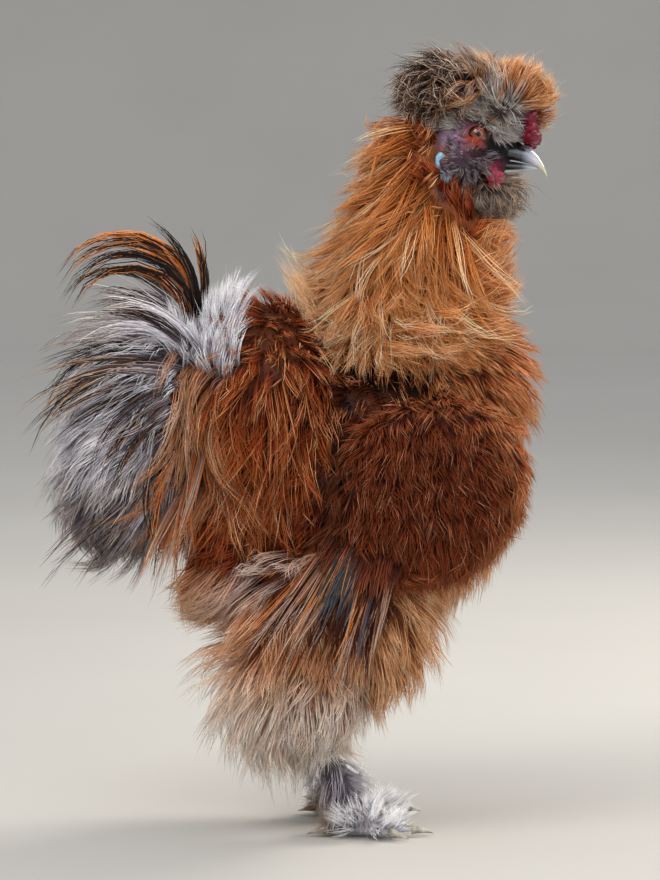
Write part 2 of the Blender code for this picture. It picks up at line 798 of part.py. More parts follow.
def dress(listed, cores, grown, collection):
    """Joins each coat to its core, cut clear of the other cores and of the coats above it."""
    ordered = sorted((e for e in listed if grown[e[0]]), key=lambda e: coat_rank(e[2]))
    done = []
    for name, core, _, _, _ in ordered:
        pieces = grown[name]
        locks = joined(f"{name}_locks", pieces, collection)
        other_cores = [p for e in listed if e[0] != name for p in e[1]]
        other_locks = [p for other in done for p in grown[other]]
        for cutters, gap in ((other_cores, GAP), (other_locks, LOCK_GAP)):
            close = [p for p in cutters if any(near(p, own) for own in pieces)]
            boolean(locks, "DIFFERENCE", close, gap)
        if name.startswith(("foot", "shank")):
            boolean(locks, "DIFFERENCE", [floor_slab])
        target = cores[name]
        whole = locks.data.copy()

        def piece(_):
            form = bmesh.new()
            form.from_mesh(whole)
            return form

        boolean(target, "UNION", [piece])
        keep_largest(target)
        bpy.data.objects.remove(locks)
        done.append(name)


def finish(listed, cores):
    """Puts the middle of the bird's outline over the origin, and gives each node its finish."""
    corners = [v.co for thing in cores.values() for v in thing.data.vertices]
    low = Vector([min(c[k] for c in corners) for k in range(3)])
    high = Vector([max(c[k] for c in corners) for k in range(3)])
    shift = Vector((-(low.x + high.x) / 2, -(low.y + high.y) / 2, 0))
    for name, _, _, _, colour in listed:
        thing = cores[name]
        thing.data.transform(Matrix.Translation(shift))
        thing.data.materials.clear()
        thing.data.materials.append(material(colour, 0.35 if colour in ("horn", "eye") else 0.75))
        thing.data.shade_smooth()
        thing.data.set_sharp_from_angle(angle=math.radians(40))


def main():
    clear_scene()
    bird = new_collection("silkie_cockerel")
    listed = nodes()
    cores = trimmed_cores(listed, bird)
    grown = grow_coats(listed)
    dress(listed, cores, grown, bird)
    finish(listed, cores)


main()
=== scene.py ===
"""The looks of a standing silkie cockerel: skin, plumage, bill, comb, eyes and feet.

Sizes are in millimetres from the floor under the bird, with X ahead, Y to its left and Z up.
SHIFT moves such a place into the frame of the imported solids.
"""

import math
import random

import bpy
import numpy as np
from mathutils import Matrix, Vector
from mathutils.bvhtree import BVHTree


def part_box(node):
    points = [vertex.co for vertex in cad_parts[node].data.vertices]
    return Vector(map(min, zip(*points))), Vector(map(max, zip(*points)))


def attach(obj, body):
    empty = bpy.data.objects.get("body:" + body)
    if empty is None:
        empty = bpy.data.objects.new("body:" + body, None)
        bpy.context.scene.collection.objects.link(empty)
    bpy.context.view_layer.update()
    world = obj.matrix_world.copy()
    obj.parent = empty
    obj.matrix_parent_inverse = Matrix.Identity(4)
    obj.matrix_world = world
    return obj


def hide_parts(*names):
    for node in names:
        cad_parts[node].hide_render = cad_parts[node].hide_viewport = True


MM = 0.001
SIDES = {"right": -1, "left": 1}
EYE_PLACE = np.array((63.0, -11.4, 300.0))

# How the bird stands and how far its skin lies inside the solids.
LEG_SPREAD = 26.0
FOOT_X = 11.0
LEFT_FOOT_BACK = 4.0
HOCK_HEIGHT = 47.0
SKIN_DEPTH = 2.0
BODY_VOXEL = 2.2
FACE_VOXEL = 0.8

TOES = {
    "middle": (4, 27, 0.0),
    "inner": (-30, 22, 0.0),
    "outer": (38, 22, 0.0),
    "hind": (170, 15, 0.0),
    "fifth": (-148, 14, 34.0),
}

NECK_STATIONS = [
    (35, 204, 34, 38), (40, 230, 31, 35), (44, 254, 25, 29),
    (42, 272, 17, 20), (41, 287, 12, 14), (40, 303, 9, 10),
]

# Each form of the body: centre, radii and pitch in degrees.
BODY_FORMS = {
    "torso": [((18, 0, 152), (62, 46, 56), 12), ((50, 0, 190), (35, 36, 40), 0),
              ((-38, 0, 130), (25, 32, 32), 0)],
    "saddle": [((-28, 0, 187), (33, 43, 42), -8)],
    "tail": [((-84, 0, 170), (27, 30, 49), -20)],
    "crest_front": [((77, 0, 313), (17, 18, 15), 0)],
    "crest_back": [((53, 0, 321), (20, 20, 12), 6)],
    "beard": [((71, 0, 275), (11, 13, 8), 0)],
}
PAIRED_FORMS = {
    "wing": [((42, 46, 152), (43, 12, 37), 32), ((16, 47, 129), (24, 8, 17), 46)],
    "thigh": [((3, 26, 97), (37, 23, 34), 0), ((-13, 26, 66), (28, 18, 25), 0)],
    "muff": [((58, 12, 284), (9, 5, 8), 0)],
}
HEAD_FORMS = [
    ((59, 0, 299), (16, 13.4, 13.5), 0), ((69.5, 0, 293.6), (9.5, 7, 6), -12),
    ((66, 0, 287.5), (11, 8.5, 5.6), 0), ((54, 8, 290), (10, 7, 9), 0), ((54, -8, 290), (10, 7, 9), 0),
    ((78.4, 0, 294.2), (4.6, 4.4, 3.0), -14),
]

# Feather colours from root to tip, with the share of strands that take each.
PALETTES = {
    "hackle": [(0.42, "9A5424", "CC8048", "E8B076"), (0.30, "84401A", "BC6A34", "DC9658"),
               (0.28, "B06C38", "DEA066", "F4CC9C")],
    # Pale straw tone; at the back of the neck it is partly paler feathers and partly painted backlight.
    "hackle_pale": [(0.5, "C08048", "E8B480", "F8E0B8"), (0.5, "C88C54", "F0C498", "FAEACE")],
    "hackle_bright": [(0.6, "9C4C14", "D47A30", "EEA058"), (0.4, "8A4212", "C86C28", "E48E44")],
    "nape_dark": [(0.6, "3A2418", "7A5436", "B88A5C"), (0.4, "5A3A24", "A07848", "E0B888")],
    # Golden tips: partly the feathers' own tone, partly painted backlight along the front edge of the breast.
    "breast": [(0.6, "8C3E1C", "BC6432", "E29C64"), (0.4, "98502A", "CC8048", "F0BC8C")],
    "breast_low": [(0.6, "A05E36", "D8945C", "F0C096"), (0.4, "AC6C44", "E4A876", "F8D8B4")],
    "wing": [(0.55, "421608", "6E2C12", "904624"), (0.35, "4E1C0C", "803A1E", "AC603A"),
             (0.10, "703424", "AC6C4C", "DCA88C")],
    # Painted shade: near-black strands laid where shade falls behind the wing and under the cape.
    "shade": [(1.0, "140604", "200A06", "34120A")],
    "shoulder": [(0.6, "581A0A", "8A3616", "B4562C"), (0.4, "662610", "9C4622", "C87444")],
    "saddle": [(0.5, "5E200C", "9E461C", "C8743A"), (0.3, "4E1C0C", "82361A", "AC562A"),
               (0.2, "7A4024", "C88050", "ECBE94")],
    "saddle_grey": [(0.35, "6A5650", "A08C80", "B8987E"), (0.45, "84401E", "BE6A38", "D89058"),
                    (0.2, "8A7C76", "BCAA9E", "D8C4B4")],
    "white": [(0.7, "CCCAD6", "E8E8F2", "FAF8FE"), (0.3, "B4B0BE", "DCDAE4", "F2F0F4")],
    "tail_grey": [(0.30, "A8A0AC", "C0B8C4", "D4C6BE"), (0.25, "8A7E80", "C0AC9E", "E4CFB6"),
                  (0.15, "5A4E52", "6A5A58", "4A3C38"), (0.30, "C4BECC", "DCD8E4", "E8E2E2")],
    "tail_slate": [(0.4, "6A6470", "6E646C", "3E3434"), (0.3, "5A5460", "8A7E84", "B8A490"),
                   (0.2, "4A4044", "3A2E2C", "2A1E1A"), (0.1, "8A8088", "C8B8A8", "E8D8C0")],
    "ribbon": [(0.6, "7A7078", "261C18", "140E0C"), (0.2, "9A8E90", "8E7460", "CCB098"),
               (0.2, "5E5254", "4A3024", "7A4C2E")],
    "tail_veil": [(0.6, "C4C0CC", "DAD6E0", "A89484"), (0.25, "A8A0A8", "C4BABC", "644E42"),
                  (0.15, "D8D4DE", "EAE6EE", "E4DCD4")],
    "sickle": [(0.45, "1A1210", "241814", "2C1C16"), (0.45, "6A3414", "D87428", "EC9440"),
               (0.10, "4A3A34", "8A7468", "B8A088")],
    "sickle_black": [(0.8, "1A1412", "241A18", "2E2220"), (0.2, "4A3428", "7A5840", "A07850")],
    "thigh": [(0.6, "A05A32", "DA8C54", "F0BA8C"), (0.4, "AC6840", "E6A472", "F8D8B6")],
    "thigh_front": [(0.6, "9C5428", "D8864A", "EEB07A"), (0.4, "A86234", "E29C64", "F8D0A2")],
    "grey_patch": [(0.6, "A09894", "C8C0C4", "E8E2E6"), (0.4, "8E8078", "BCAEA6", "D8CCC4")],
    "leg_beige": [(0.6, "E2CAB6", "F8E8DC", "FEFAF4"), (0.4, "D2B29C", "F0DAC8", "FCF2E8")],
    "shank_grey": [(0.5, "7A7480", "A29CA8", "C4BEC8"), (0.5, "8A828C", "B4AAB0", "DCD2D4")],
    "toe_white": [(0.8, "EAE8F0", "F8F7FC", "FFFEFF"), (0.2, "D6D4DE", "EEECF4", "FAF8FC")],
    "toe_brown": [(0.5, "5E5458", "8A7C78", "A89888"), (0.5, "6A5040", "A08068", "C8A888")],
    "pom": [(0.6, "8E4E2A", "C87C48", "E8AC74"), (0.4, "9A6238", "D8985E", "F6D8AC")],
    "pom_grey": [(0.5, "8A827E", "B0A8A4", "DCD6D2"), (0.25, "5A4E48", "8A7C72", "B8ACA0"),
                 (0.25, "9A928E", "CCC6C2", "F0ECEA")],
    "crest_dark": [(0.60, "140C0A", "241612", "3E2820"), (0.18, "4A2E20", "7A5038", "A87854"),
                   (0.22, "7A5A4A", "D8C0AC", "F2E4D4")],
    "crest_cream": [(0.6, "8A6A5A", "C8A898", "ECDCCC"), (0.4, "4A342C", "8A6A5A", "D8C0AC")],
    "beard": [(0.4, "5A4E48", "8E8078", "B4A698"), (0.3, "3E3430", "5E504A", "8A7A70"),
              (0.3, "7A5A44", "B48C6C", "DCBE9C")],
    "cheek": [(0.5, "4A4044", "6E6266", "948890"), (0.3, "3A3034", "54484C", "786C70"),
              (0.2, "7A6E72", "A89CA0", "CCC0C0")],
    "flight": [(0.10, "34323A", "4E4A54", "726870"), (0.50, "1C0A06", "36160C", "5E2E1E"),
               (0.22, "4A2A20", "B08068", "F4DECE"), (0.18, "6A2E10", "B4642A", "E0985A")],
    "slate_vane": [(0.72, "2C2E32", "4A4C52", "5E5C5E"), (0.16, "9A4E14", "DC8A34", "D08C4C"),
                   (0.12, "2A1A18", "3A2420", "5A3A30")],
    "wing_fringe": [(0.6, "30120A", "5A2614", "8A4830"), (0.4, "4A1E10", "7E3A20", "B87454")],
}


# Colour and mapping helpers.
def linear(code):
    """A colour code as linear red, green and blue."""
    parts = np.array([int(code[i:i + 2], 16) / 255 for i in (0, 2, 4)])
    return np.where(parts <= 0.04045, parts / 12.92, ((parts + 0.055) / 1.055) ** 2.4)


def colour(code):
    return (*linear(code), 1.0)


def ease(value, start, end):
    """0 before start, 1 after end and smooth between."""
    t = np.clip((value - start) / (end - start), 0, 1)
    return t * t * (3 - 2 * t)


def unit(vectors):
    return vectors / np.maximum(np.linalg.norm(vectors, axis=-1, keepdims=True), 1e-9)


def dot(a, b):
    return np.sum(a * b, axis=-1, keepdims=True)


# Mesh helpers.
def deselect():
    for thing in bpy.context.selected_objects:
        thing.select_set(False)


def lump(centre, radii, pitch=0.0, segments=40, rings=20):
    """An ellipsoid at its size and place, as a new active object."""
    deselect()
    place = Vector(centre) * MM + SHIFT
    bpy.ops.mesh.primitive_uv_sphere_add(
        segments=segments, ring_count=rings, radius=1.0, location=place,
        rotation=(0, -math.radians(pitch), 0), scale=[r * MM for r in radii],
    )
    return bpy.context.active_object


def join(things, name):
    deselect()
    for thing in things:
        thing.select_set(True)
    bpy.context.view_layer.objects.active = things[0]
    if len(things) > 1:
        bpy.ops.object.join()
    made = bpy.context.active_object
    made.name = made.data.name = name
    bpy.ops.object.transform_apply(location=True, rotation=True, scale=True)
    return made


def modify(thing, kind, **settings):
    """Adds a modifier and applies it."""
    deselect()
    thing.select_set(True)
    bpy.context.view_layer.objects.active = thing
    modifier = thing.modifiers.new(kind.lower(), kind)
    for key, value in settings.items():
        setattr(modifier, key, value)
    bpy.ops.object.modifier_apply(modifier=modifier.name)


def fuse(things, name, voxel, smoothing, times):
    """One smooth closed surface over several lumps."""
    made = join(things, name)
    modify(made, "REMESH", mode="VOXEL", voxel_size=voxel * MM)
    modify(made, "SMOOTH", factor=smoothing, iterations=times)
    made.data.shade_smooth()
    return made


def finish_piece(thing, material, slot, *nodes):
    thing.data.materials.clear()
    thing.data.materials.append(material)
    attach(thing, "root")
    if nodes:
        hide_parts(*nodes)


def to_bird(points):
    """Places in the frame as millimetres over the floor under the bird."""
    return (points - np.array(SHIFT)) / MM


def to_frame(points):
    return points * MM + np.array(SHIFT)


# Materials.
DARKEST_GRAIN = 0.72
LIGHTEST_GRAIN = 1.28


def new_material(name, roughness, **inputs):
    made = bpy.data.materials.new(name)
    made.use_nodes = True
    shader = made.node_tree.nodes["Principled BSDF"]
    shader.inputs["Roughness"].default_value = roughness
    for key, value in inputs.items():
        shader.inputs[key.replace("_", " ")].default_value = value
    return made, made.node_tree, shader


def add_node(tree, kind, **settings):
    node = tree.nodes.new(kind)
    for key, value in settings.items():
        if key in node.inputs:
            node.inputs[key].default_value = value
        else:
            setattr(node, key, value)
    return node


def noise(tree, scale, detail=4.0):
    place = add_node(tree, "ShaderNodeTexCoord")
    made = add_node(tree, "ShaderNodeTexNoise", Scale=scale, Detail=detail)
    tree.links.new(place.outputs["Object"], made.inputs["Vector"])
    return made


def ramp(tree, source, stops):
    made = add_node(tree, "ShaderNodeValToRGB")
    while len(made.color_ramp.elements) < len(stops):
        made.color_ramp.elements.new(0.5)
    for element, (place, code) in zip(made.color_ramp.elements, stops):
        element.position = place
        element.color = colour(code)
    tree.links.new(source, made.inputs["Fac"])
    return made


def bump(tree, shader, source, strength, distance):
    made = add_node(tree, "ShaderNodeBump", Strength=strength, Distance=distance)
    tree.links.new(source, made.inputs["Height"])
    tree.links.new(made.outputs["Normal"], shader.inputs["Normal"])


def tinted(name, roughness, grain, **inputs):
    """A finish that takes its colour from the mesh, broken up by a fine grain."""
    made, tree, shader = new_material(name, roughness, **inputs)
    tint = add_node(tree, "ShaderNodeAttribute", attribute_name="tint")
    speckle = noise(tree, grain)
    shift = {"To Min": DARKEST_GRAIN, "To Max": LIGHTEST_GRAIN}
    level = add_node(tree, "ShaderNodeMapRange", **shift)
    mixed = add_node(tree, "ShaderNodeMix", data_type="RGBA", blend_type="MULTIPLY")
    mixed.inputs["Factor"].default_value = 1.0
    tree.links.new(speckle.outputs["Fac"], level.inputs["Value"])
    tree.links.new(tint.outputs["Color"], mixed.inputs[6])
    tree.links.new(level.outputs["Result"], mixed.inputs[7])
    tree.links.new(mixed.outputs[2], shader.inputs["Base Color"])
    return made, tree, shader


def plumage_finish(name, roughness, sheen):
    made, _, _ = tinted(
        name, roughness, 420.0, Sheen_Weight=sheen, Sheen_Roughness=0.45, Specular_IOR_Level=0.14,
    )
    return made


def skin_finish():
    made, tree, shader = tinted("bare_skin", 0.55, 260.0, Specular_IOR_Level=0.2)
    bump(tree, shader, noise(tree, 620.0, 6.0).outputs["Fac"], 0.9, 0.0012)
    return made


# The skin.
def foot_place(sign):
    return (FOOT_X - (LEFT_FOOT_BACK if sign > 0 else 0.0), sign * LEG_SPREAD)


def toe_line(sign, name):
    """The start and end of a toe, with its thickness there."""
    turn, length, lift = TOES[name]
    x, y = foot_place(sign)
    way = np.array((math.cos(math.radians(turn)), sign * math.sin(math.radians(turn)), 0.0))
    start = np.array((x, y, 3.2))
    end = start + way * length
    end[2] = 2.2 + math.sin(math.radians(lift)) * length
    return start, end, way


def leg_lumps(sign):
    x, y = foot_place(sign)
    hock = np.array((x - 20, y - sign, HOCK_HEIGHT))
    sole = np.array((x, y, 8.0))
    forms = []
    for t in np.linspace(0, 1, 12):
        size = 6.6 - 1.8 * math.sin(math.pi * t)
        forms.append(((1 - t) * hock + t * sole, (size, size, size), 0))
    forms.append(((x, y, 5.2), (7.4, 6.6, 5.0), 0))
    for name in TOES:
        start, end, _ = toe_line(sign, name)
        for t in np.linspace(0.1, 0.9, 9):
            size = 3.1 * (1 - 0.36 * t) + 0.3 * math.cos(6 * math.pi * t)
            forms.append(((1 - t) * start + t * end, (size, size, size), 0))
    return forms


def neck_forms():
    rows = []
    for low, high in zip(NECK_STATIONS, NECK_STATIONS[1:]):
        for t in (0.0, 0.34, 0.67):
            x, z, across, deep = ((1 - t) * a + t * b for a, b in zip(low, high))
            rows.append(((x, 0, z), (deep, across, 14), 0))
    return rows


def all_forms():
    """Every form of flesh by the name of its node."""
    forms = {name: list(rows) for name, rows in BODY_FORMS.items()}
    forms["neck"] = neck_forms()
    forms["head"] = list(HEAD_FORMS)
    for side, sign in SIDES.items():
        for name, rows in PAIRED_FORMS.items():
            forms[f"{name}_{side}"] = [
                ((c[0], c[1] * sign, c[2]), radii, pitch) for c, radii, pitch in rows
            ]
        forms[f"leg_{side}"] = leg_lumps(sign)
    return forms


def depth_of(name):
    """How far inside its core each stretch of skin lies."""
    if name.startswith("crest"):
        return 5.0
    if name.startswith(("beard", "muff")):
        return 3.0
    if name.startswith(("leg", "head")):
        return 0.0
    return SKIN_DEPTH


def lid_lumps(sign):
    """The ring of the lids round one eye, thicker above."""
    x, y, z = EYE_PLACE
    forms = []
    for k in range(22):
        angle = 2 * math.pi * k / 22
        thick = 1.25 if math.sin(angle) > 0 else 0.95
        centre = (x + 4.9 * math.cos(angle), -sign * y + sign * 2.1 - sign * 0.4 * abs(math.cos(angle)),
                  z + 3.9 * math.sin(angle))
        forms.append((centre, (thick * 1.15, thick, thick), 0))
    return forms


def face_folds(sign):
    """Small folds of bare skin behind and below the eye."""
    draw = random.Random(40 + sign)
    forms = []
    for k in range(16):
        x = 50 + 14 * (k % 4) / 3 + draw.uniform(-1.5, 1.5)
        z = 286 + 11 * (k // 4) / 3 + draw.uniform(-1.5, 1.5)
        forms.append(((x, sign * 15.0, z), (2.4, 1.6, 1.7), draw.uniform(-40, 40)))
    return forms


def make_skin():
    """One skin from beak root to toes, with a finer surface over the face."""
    body = [
        lump(centre, [max(r - depth_of(name), 1.5) for r in radii], pitch)
        for name, rows in all_forms().items()
        for centre, radii, pitch in rows
    ]
    body = fuse(body, "body_skin", BODY_VOXEL, 0.5, 6)
    face = [lump(centre, [r + 0.4 for r in radii], pitch) for centre, radii, pitch in HEAD_FORMS]
    for sign in SIDES.values():
        face += [lump(*form, segments=16, rings=8) for form in lid_lumps(sign) + face_folds(sign)]
    face = fuse(face, "face_skin", FACE_VOXEL, 0.5, 3)
    return join([body, face], "skin")


def distance_to_form(points, centre, radii, pitch):
    """Roughly how far points lie out from an ellipsoid."""
    turn = Matrix.Rotation(-math.radians(pitch), 3, "Y")
    local = (points - np.array(centre)) @ np.array(turn)
    reach = np.linalg.norm(local / np.array(radii), axis=1)
    return (1 - 1 / np.maximum(reach, 1e-6)) * np.linalg.norm(local, axis=1)


def skin_field(skin):
    """The skin's triangles with their middle, size, way out and the node that each belongs to."""
    mesh = skin.data
    mesh.calc_loop_triangles()
    places = np.empty(len(mesh.vertices) * 3)
    mesh.vertices.foreach_get("co", places)
    places = places.reshape(-1, 3)
    corners = np.empty(len(mesh.loop_triangles) * 3, np.int32)
    mesh.loop_triangles.foreach_get("vertices", corners)
    triangles = places[corners.reshape(-1, 3)]
    middle = to_bird(triangles.mean(axis=1))
    order = np.lexsort((middle[:, 1].round(1), (middle[:, 0] / 3).round(), (middle[:, 2] / 3).round()))
    triangles, middle = triangles[order], middle[order]
    across = np.cross(triangles[:, 1] - triangles[:, 0], triangles[:, 2] - triangles[:, 0])
    names = sorted(all_forms())
    nearest = np.full(len(middle), 1e9)
    zone = np.zeros(len(middle), np.int32)
    for k, name in enumerate(names):
        for centre, radii, pitch in all_forms()[name]:
            gone = distance_to_form(middle, centre, radii, pitch)
            closer = gone < nearest
            nearest[closer], zone[closer] = gone[closer], k
    zone_names = np.array(names)[zone]
    return {
        "triangles": triangles, "middle": middle, "zone": zone_names,
        "area": np.linalg.norm(across, axis=1) / 2, "normal": unit(across),
        "tree": BVHTree.FromPolygons([Vector(p) for p in places], corners.reshape(-1, 3).tolist()),
    }


# The unwrap of the skin, on which each tuft has its patch.
SPINE = np.array([(93, 285), (62, 296), (46, 275), (42, 240), (35, 205), (5, 165), (-35, 160),
                  (-75, 170), (-125, 180)], float)


def unwrap(points):
    """Where each place of the skin lies on a flat map: along the spine or leg, and round it."""
    x, y, z = points[..., 0], points[..., 1], points[..., 2]
    best = np.full(x.shape, 1e9)
    along = np.zeros(x.shape)
    turned = np.zeros(x.shape)
    lengths = np.linalg.norm(np.diff(SPINE, axis=0), axis=1)
    starts = np.concatenate([[0], np.cumsum(lengths)])
    for k, length in enumerate(lengths):
        way = (SPINE[k + 1] - SPINE[k]) / length
        dx, dz = x - SPINE[k, 0], z - SPINE[k, 1]
        t = np.clip(dx * way[0] + dz * way[1], 0, length)
        off_x, off_z = dx - t * way[0], dz - t * way[1]
        gone = off_x ** 2 + off_z ** 2 + y ** 2
        up = off_z * way[0] - off_x * way[1]
        closer = gone < best
        best = np.where(closer, gone, best)
        along = np.where(closer, starts[k] + t, along)
        turned = np.where(closer, np.arctan2(y, -up), turned)
    body_u = 0.01 + 0.78 * along / starts[-1]
    body_v = 0.5 + 0.49 * turned / math.pi
    leg_x = FOOT_X - 0.5 * (z - 8)
    leg_turn = np.arctan2(np.abs(y) - LEG_SPREAD, x - leg_x)
    leg_u = np.where(y < 0, 0.81, 0.91) + 0.08 * (0.5 + leg_turn / (2 * math.pi))
    leg_v = np.clip(z / 60, 0, 1) * 0.8 + 0.1 + 0.002 * np.hypot(x - leg_x, np.abs(y) - LEG_SPREAD)
    leg = z < 52
    return np.stack([np.where(leg, leg_u, body_u), np.where(leg, leg_v, body_v)], axis=-1)


# The plumage: guides grow over the skin, and strands gather round each guide.
def pick_roots(field, zones, count, keep, rng):
    """Roots spread evenly over the kept part of some zones, with the way out at each."""
    inside = np.isin(field["zone"], zones) & keep(field["middle"])
    chosen = np.flatnonzero(inside)
    total = np.cumsum(field["area"][chosen])
    many = count * 5
    marks = (np.arange(many) + rng.random(many)) / many * total[-1]
    picks = chosen[np.minimum(np.searchsorted(total, marks), len(chosen) - 1)]
    a, b = np.sqrt(rng.random(many))[:, None], rng.random(many)[:, None]
    corner = field["triangles"][picks]
    roots = to_bird(corner[:, 0] * (1 - a) + corner[:, 1] * a * (1 - b) + corner[:, 2] * a * b)
    cell = 1.15 * math.sqrt(total[-1] / MM ** 2 / count)
    first = np.unique(np.floor(roots / cell).astype(int), axis=0, return_index=True)[1]
    others = np.setdiff1d(np.arange(many), first)
    taken = np.concatenate([rng.permutation(first), rng.permutation(others)])[:count]
    return roots[taken], field["normal"][picks[taken]]


def over_skin(tree, points):
    """The height of each point over the skin and the way out there."""
    heights, ways = np.empty(len(points)), np.empty_like(points)
    for k, point in enumerate(to_frame(points)):
        here = Vector(point)
        where, facing, _, gone = tree.find_nearest(here)
        out = here - where
        outside = 1.0 if out.dot(facing) > 0 else -1.0
        heights[k] = outside * gone / MM
        ways[k] = out.normalized() * outside if gone > 1e-6 else facing
    return heights, ways


def spread_value(value, roots):
    """A size that may depend on the place of the root, for each root."""
    return value(roots) if callable(value) else np.full(len(roots), float(value))


def grow_guides(field, roots, normals, coat, rng):
    """The middle line of each tuft, laid over the skin along the coat's flow."""
    count, steps = len(roots), coat["steps"]
    length = spread_value(coat["length"], roots) * rng.uniform(0.82, 1.12, count)
    stand = spread_value(coat["stand"], roots) * rng.uniform(0.6, 1.3, count)
    sway = rng.normal(0, coat.get("sway", 0.2), (count, 1))
    bend = rng.normal(0, coat.get("bend", 0.3), (count, 1))
    sink = 1.5
    stride = (length + sink) / steps
    point = roots - normals * sink
    up, height = normals.copy(), np.full(count, -sink)
    before = np.zeros_like(point)
    points, ups = [point], [up]
    for i in range(steps):
        t = (i + 1) / steps
        flow = unit(coat["flow"](point, roots, t))
        flow = unit(flow - up * dot(flow, up))
        flow = flow + np.cross(up, flow) * (sway + bend * t) + before * 0.6
        flow = unit(flow - up * dot(flow, up))
        before = flow
        wanted = stand * t ** coat.get("lift", 1.1) - height
        rise = np.clip(wanted / stride, -0.5, coat.get("steep", 1.3))[:, None]
        point = point + unit(flow + up * rise) * stride[:, None]
        point[:, 2] = np.maximum(point[:, 2], 0.7)
        height, ways = over_skin(field["tree"], point)
        up = unit(up + ways * 1.5)
        points.append(point)
        ups.append(up)
    return np.stack(points, axis=1), np.stack(ups, axis=1)


def along_guides(lines, place):
    """Points part way along lines, where place runs from 0 to 1."""
    steps = lines.shape[-2] - 1
    scaled = np.clip(place * steps, 0, steps - 1e-6)
    low = scaled.astype(int)
    part = (scaled - low)[..., None]
    rows = np.arange(len(lines))[:, None, None]
    return lines[rows, low] * (1 - part) + lines[rows, low + 1] * part


STRAY_REACH = 5.0


def strands_round(guides, ups, coat, rng):
    """Strands gathered round each guide: their lines, and the way across each."""
    count, many, steps = len(guides), coat["strands"], guides.shape[1] - 1
    t = np.linspace(0, 1, steps + 1)[None, None, :]
    reach = rng.uniform(coat.get("shortest", 0.68), 1.0, (count, many, 1))
    place = t * reach
    centre = along_guides(guides, place)
    up = unit(along_guides(ups, place))
    tangent = unit(np.gradient(centre, axis=2))
    side = unit(np.cross(tangent, up))
    over = np.cross(side, tangent)
    angle = rng.uniform(0, 2 * math.pi, (count, many, 1))
    out = np.sqrt(rng.random((count, many, 1))) * coat["spread"]
    gather = coat["gather"]
    shape = 1 + (gather - 1) * place ** coat.get("closing", 1.4)
    strays = rng.random((count, many, 1)) < coat.get("stray", 0.05)
    stray = strays * rng.normal(0, STRAY_REACH, (count, many, 1)) * place ** 1.6
    across = (out * np.cos(angle) * shape + stray)[..., None]
    depth = np.abs(out * np.sin(angle)) * shape * coat.get("depth", 0.6)
    rise = (depth + abs(stray) * 0.6)[..., None]
    waves = rng.uniform(0.3, 0.32 * steps, (2, count, many, 1))
    phase = rng.uniform(0, 2 * math.pi, (2, count, many, 1))
    wobble = coat["frizz"] * place * np.sin(2 * math.pi * waves * place + phase)
    lines = centre + side * (across + wobble[0][..., None]) + over * (rise + wobble[1][..., None] * 0.7)
    lines[..., 2] = np.maximum(lines[..., 2], 0.5)
    roll = rng.uniform(-0.9, 0.9, (count, many, 1, 1))
    wide = side * np.cos(roll) + over * np.sin(roll)
    return lines, wide


def strand_colours(coat, roots, many, steps, rng):
    """Each strand's colour from root to tip."""
    count = len(roots)
    own = rng.random((count, many))
    shared = rng.random((count, 1))
    mixed = coat.get("mixed", 1.0)
    mix = (own * mixed + (shared - 0.5) * (1.5 - mixed)) % 1.0
    light = np.exp(rng.normal(0, 0.13, (count, many)) + rng.normal(0, 0.12, (count, 1)))
    t = np.linspace(0, 1, steps + 1)
    total = np.zeros((count, many, steps + 1, 3))
    weights = np.zeros((count, 1, 1, 1))
    for name, weight in coat["shades"](roots):
        weight = np.broadcast_to(weight, (count,)).reshape(-1, 1, 1, 1)
        shares = np.cumsum([row[0] for row in PALETTES[name]])
        kind = np.minimum(np.searchsorted(shares, mix * shares[-1]), len(shares) - 1)
        stops = np.array([[linear(code) for code in row[1:]] for row in PALETTES[name]])
        chosen = stops[kind]
        low = np.clip(t * 2, 0, 1)[None, None, :, None]
        high = np.clip(t * 2 - 1, 0, 1)[None, None, :, None]
        root, middle, tip = (chosen[:, :, None, k] for k in range(3))
        shade = root * (1 - low) + middle * (low - high) + tip * high
        total += shade * weight
        weights += weight
    return np.clip(total / weights * light[..., None, None], 0, 1)


def strand_faces(steps):
    """The corners of one strand's triangles: a three-sided length that ends in a point."""
    faces = [(0, 2, 1)]
    for k in range(steps - 1):
        for a in range(3):
            b = (a + 1) % 3
            low, high = 3 * k, 3 * k + 3
            faces += [(low + a, low + b, high + b), (low + a, high + b, high + a)]
    last = 3 * (steps - 1)
    faces += [(last + a, last + (a + 1) % 3, last + 3) for a in range(3)]
    return np.array(faces)


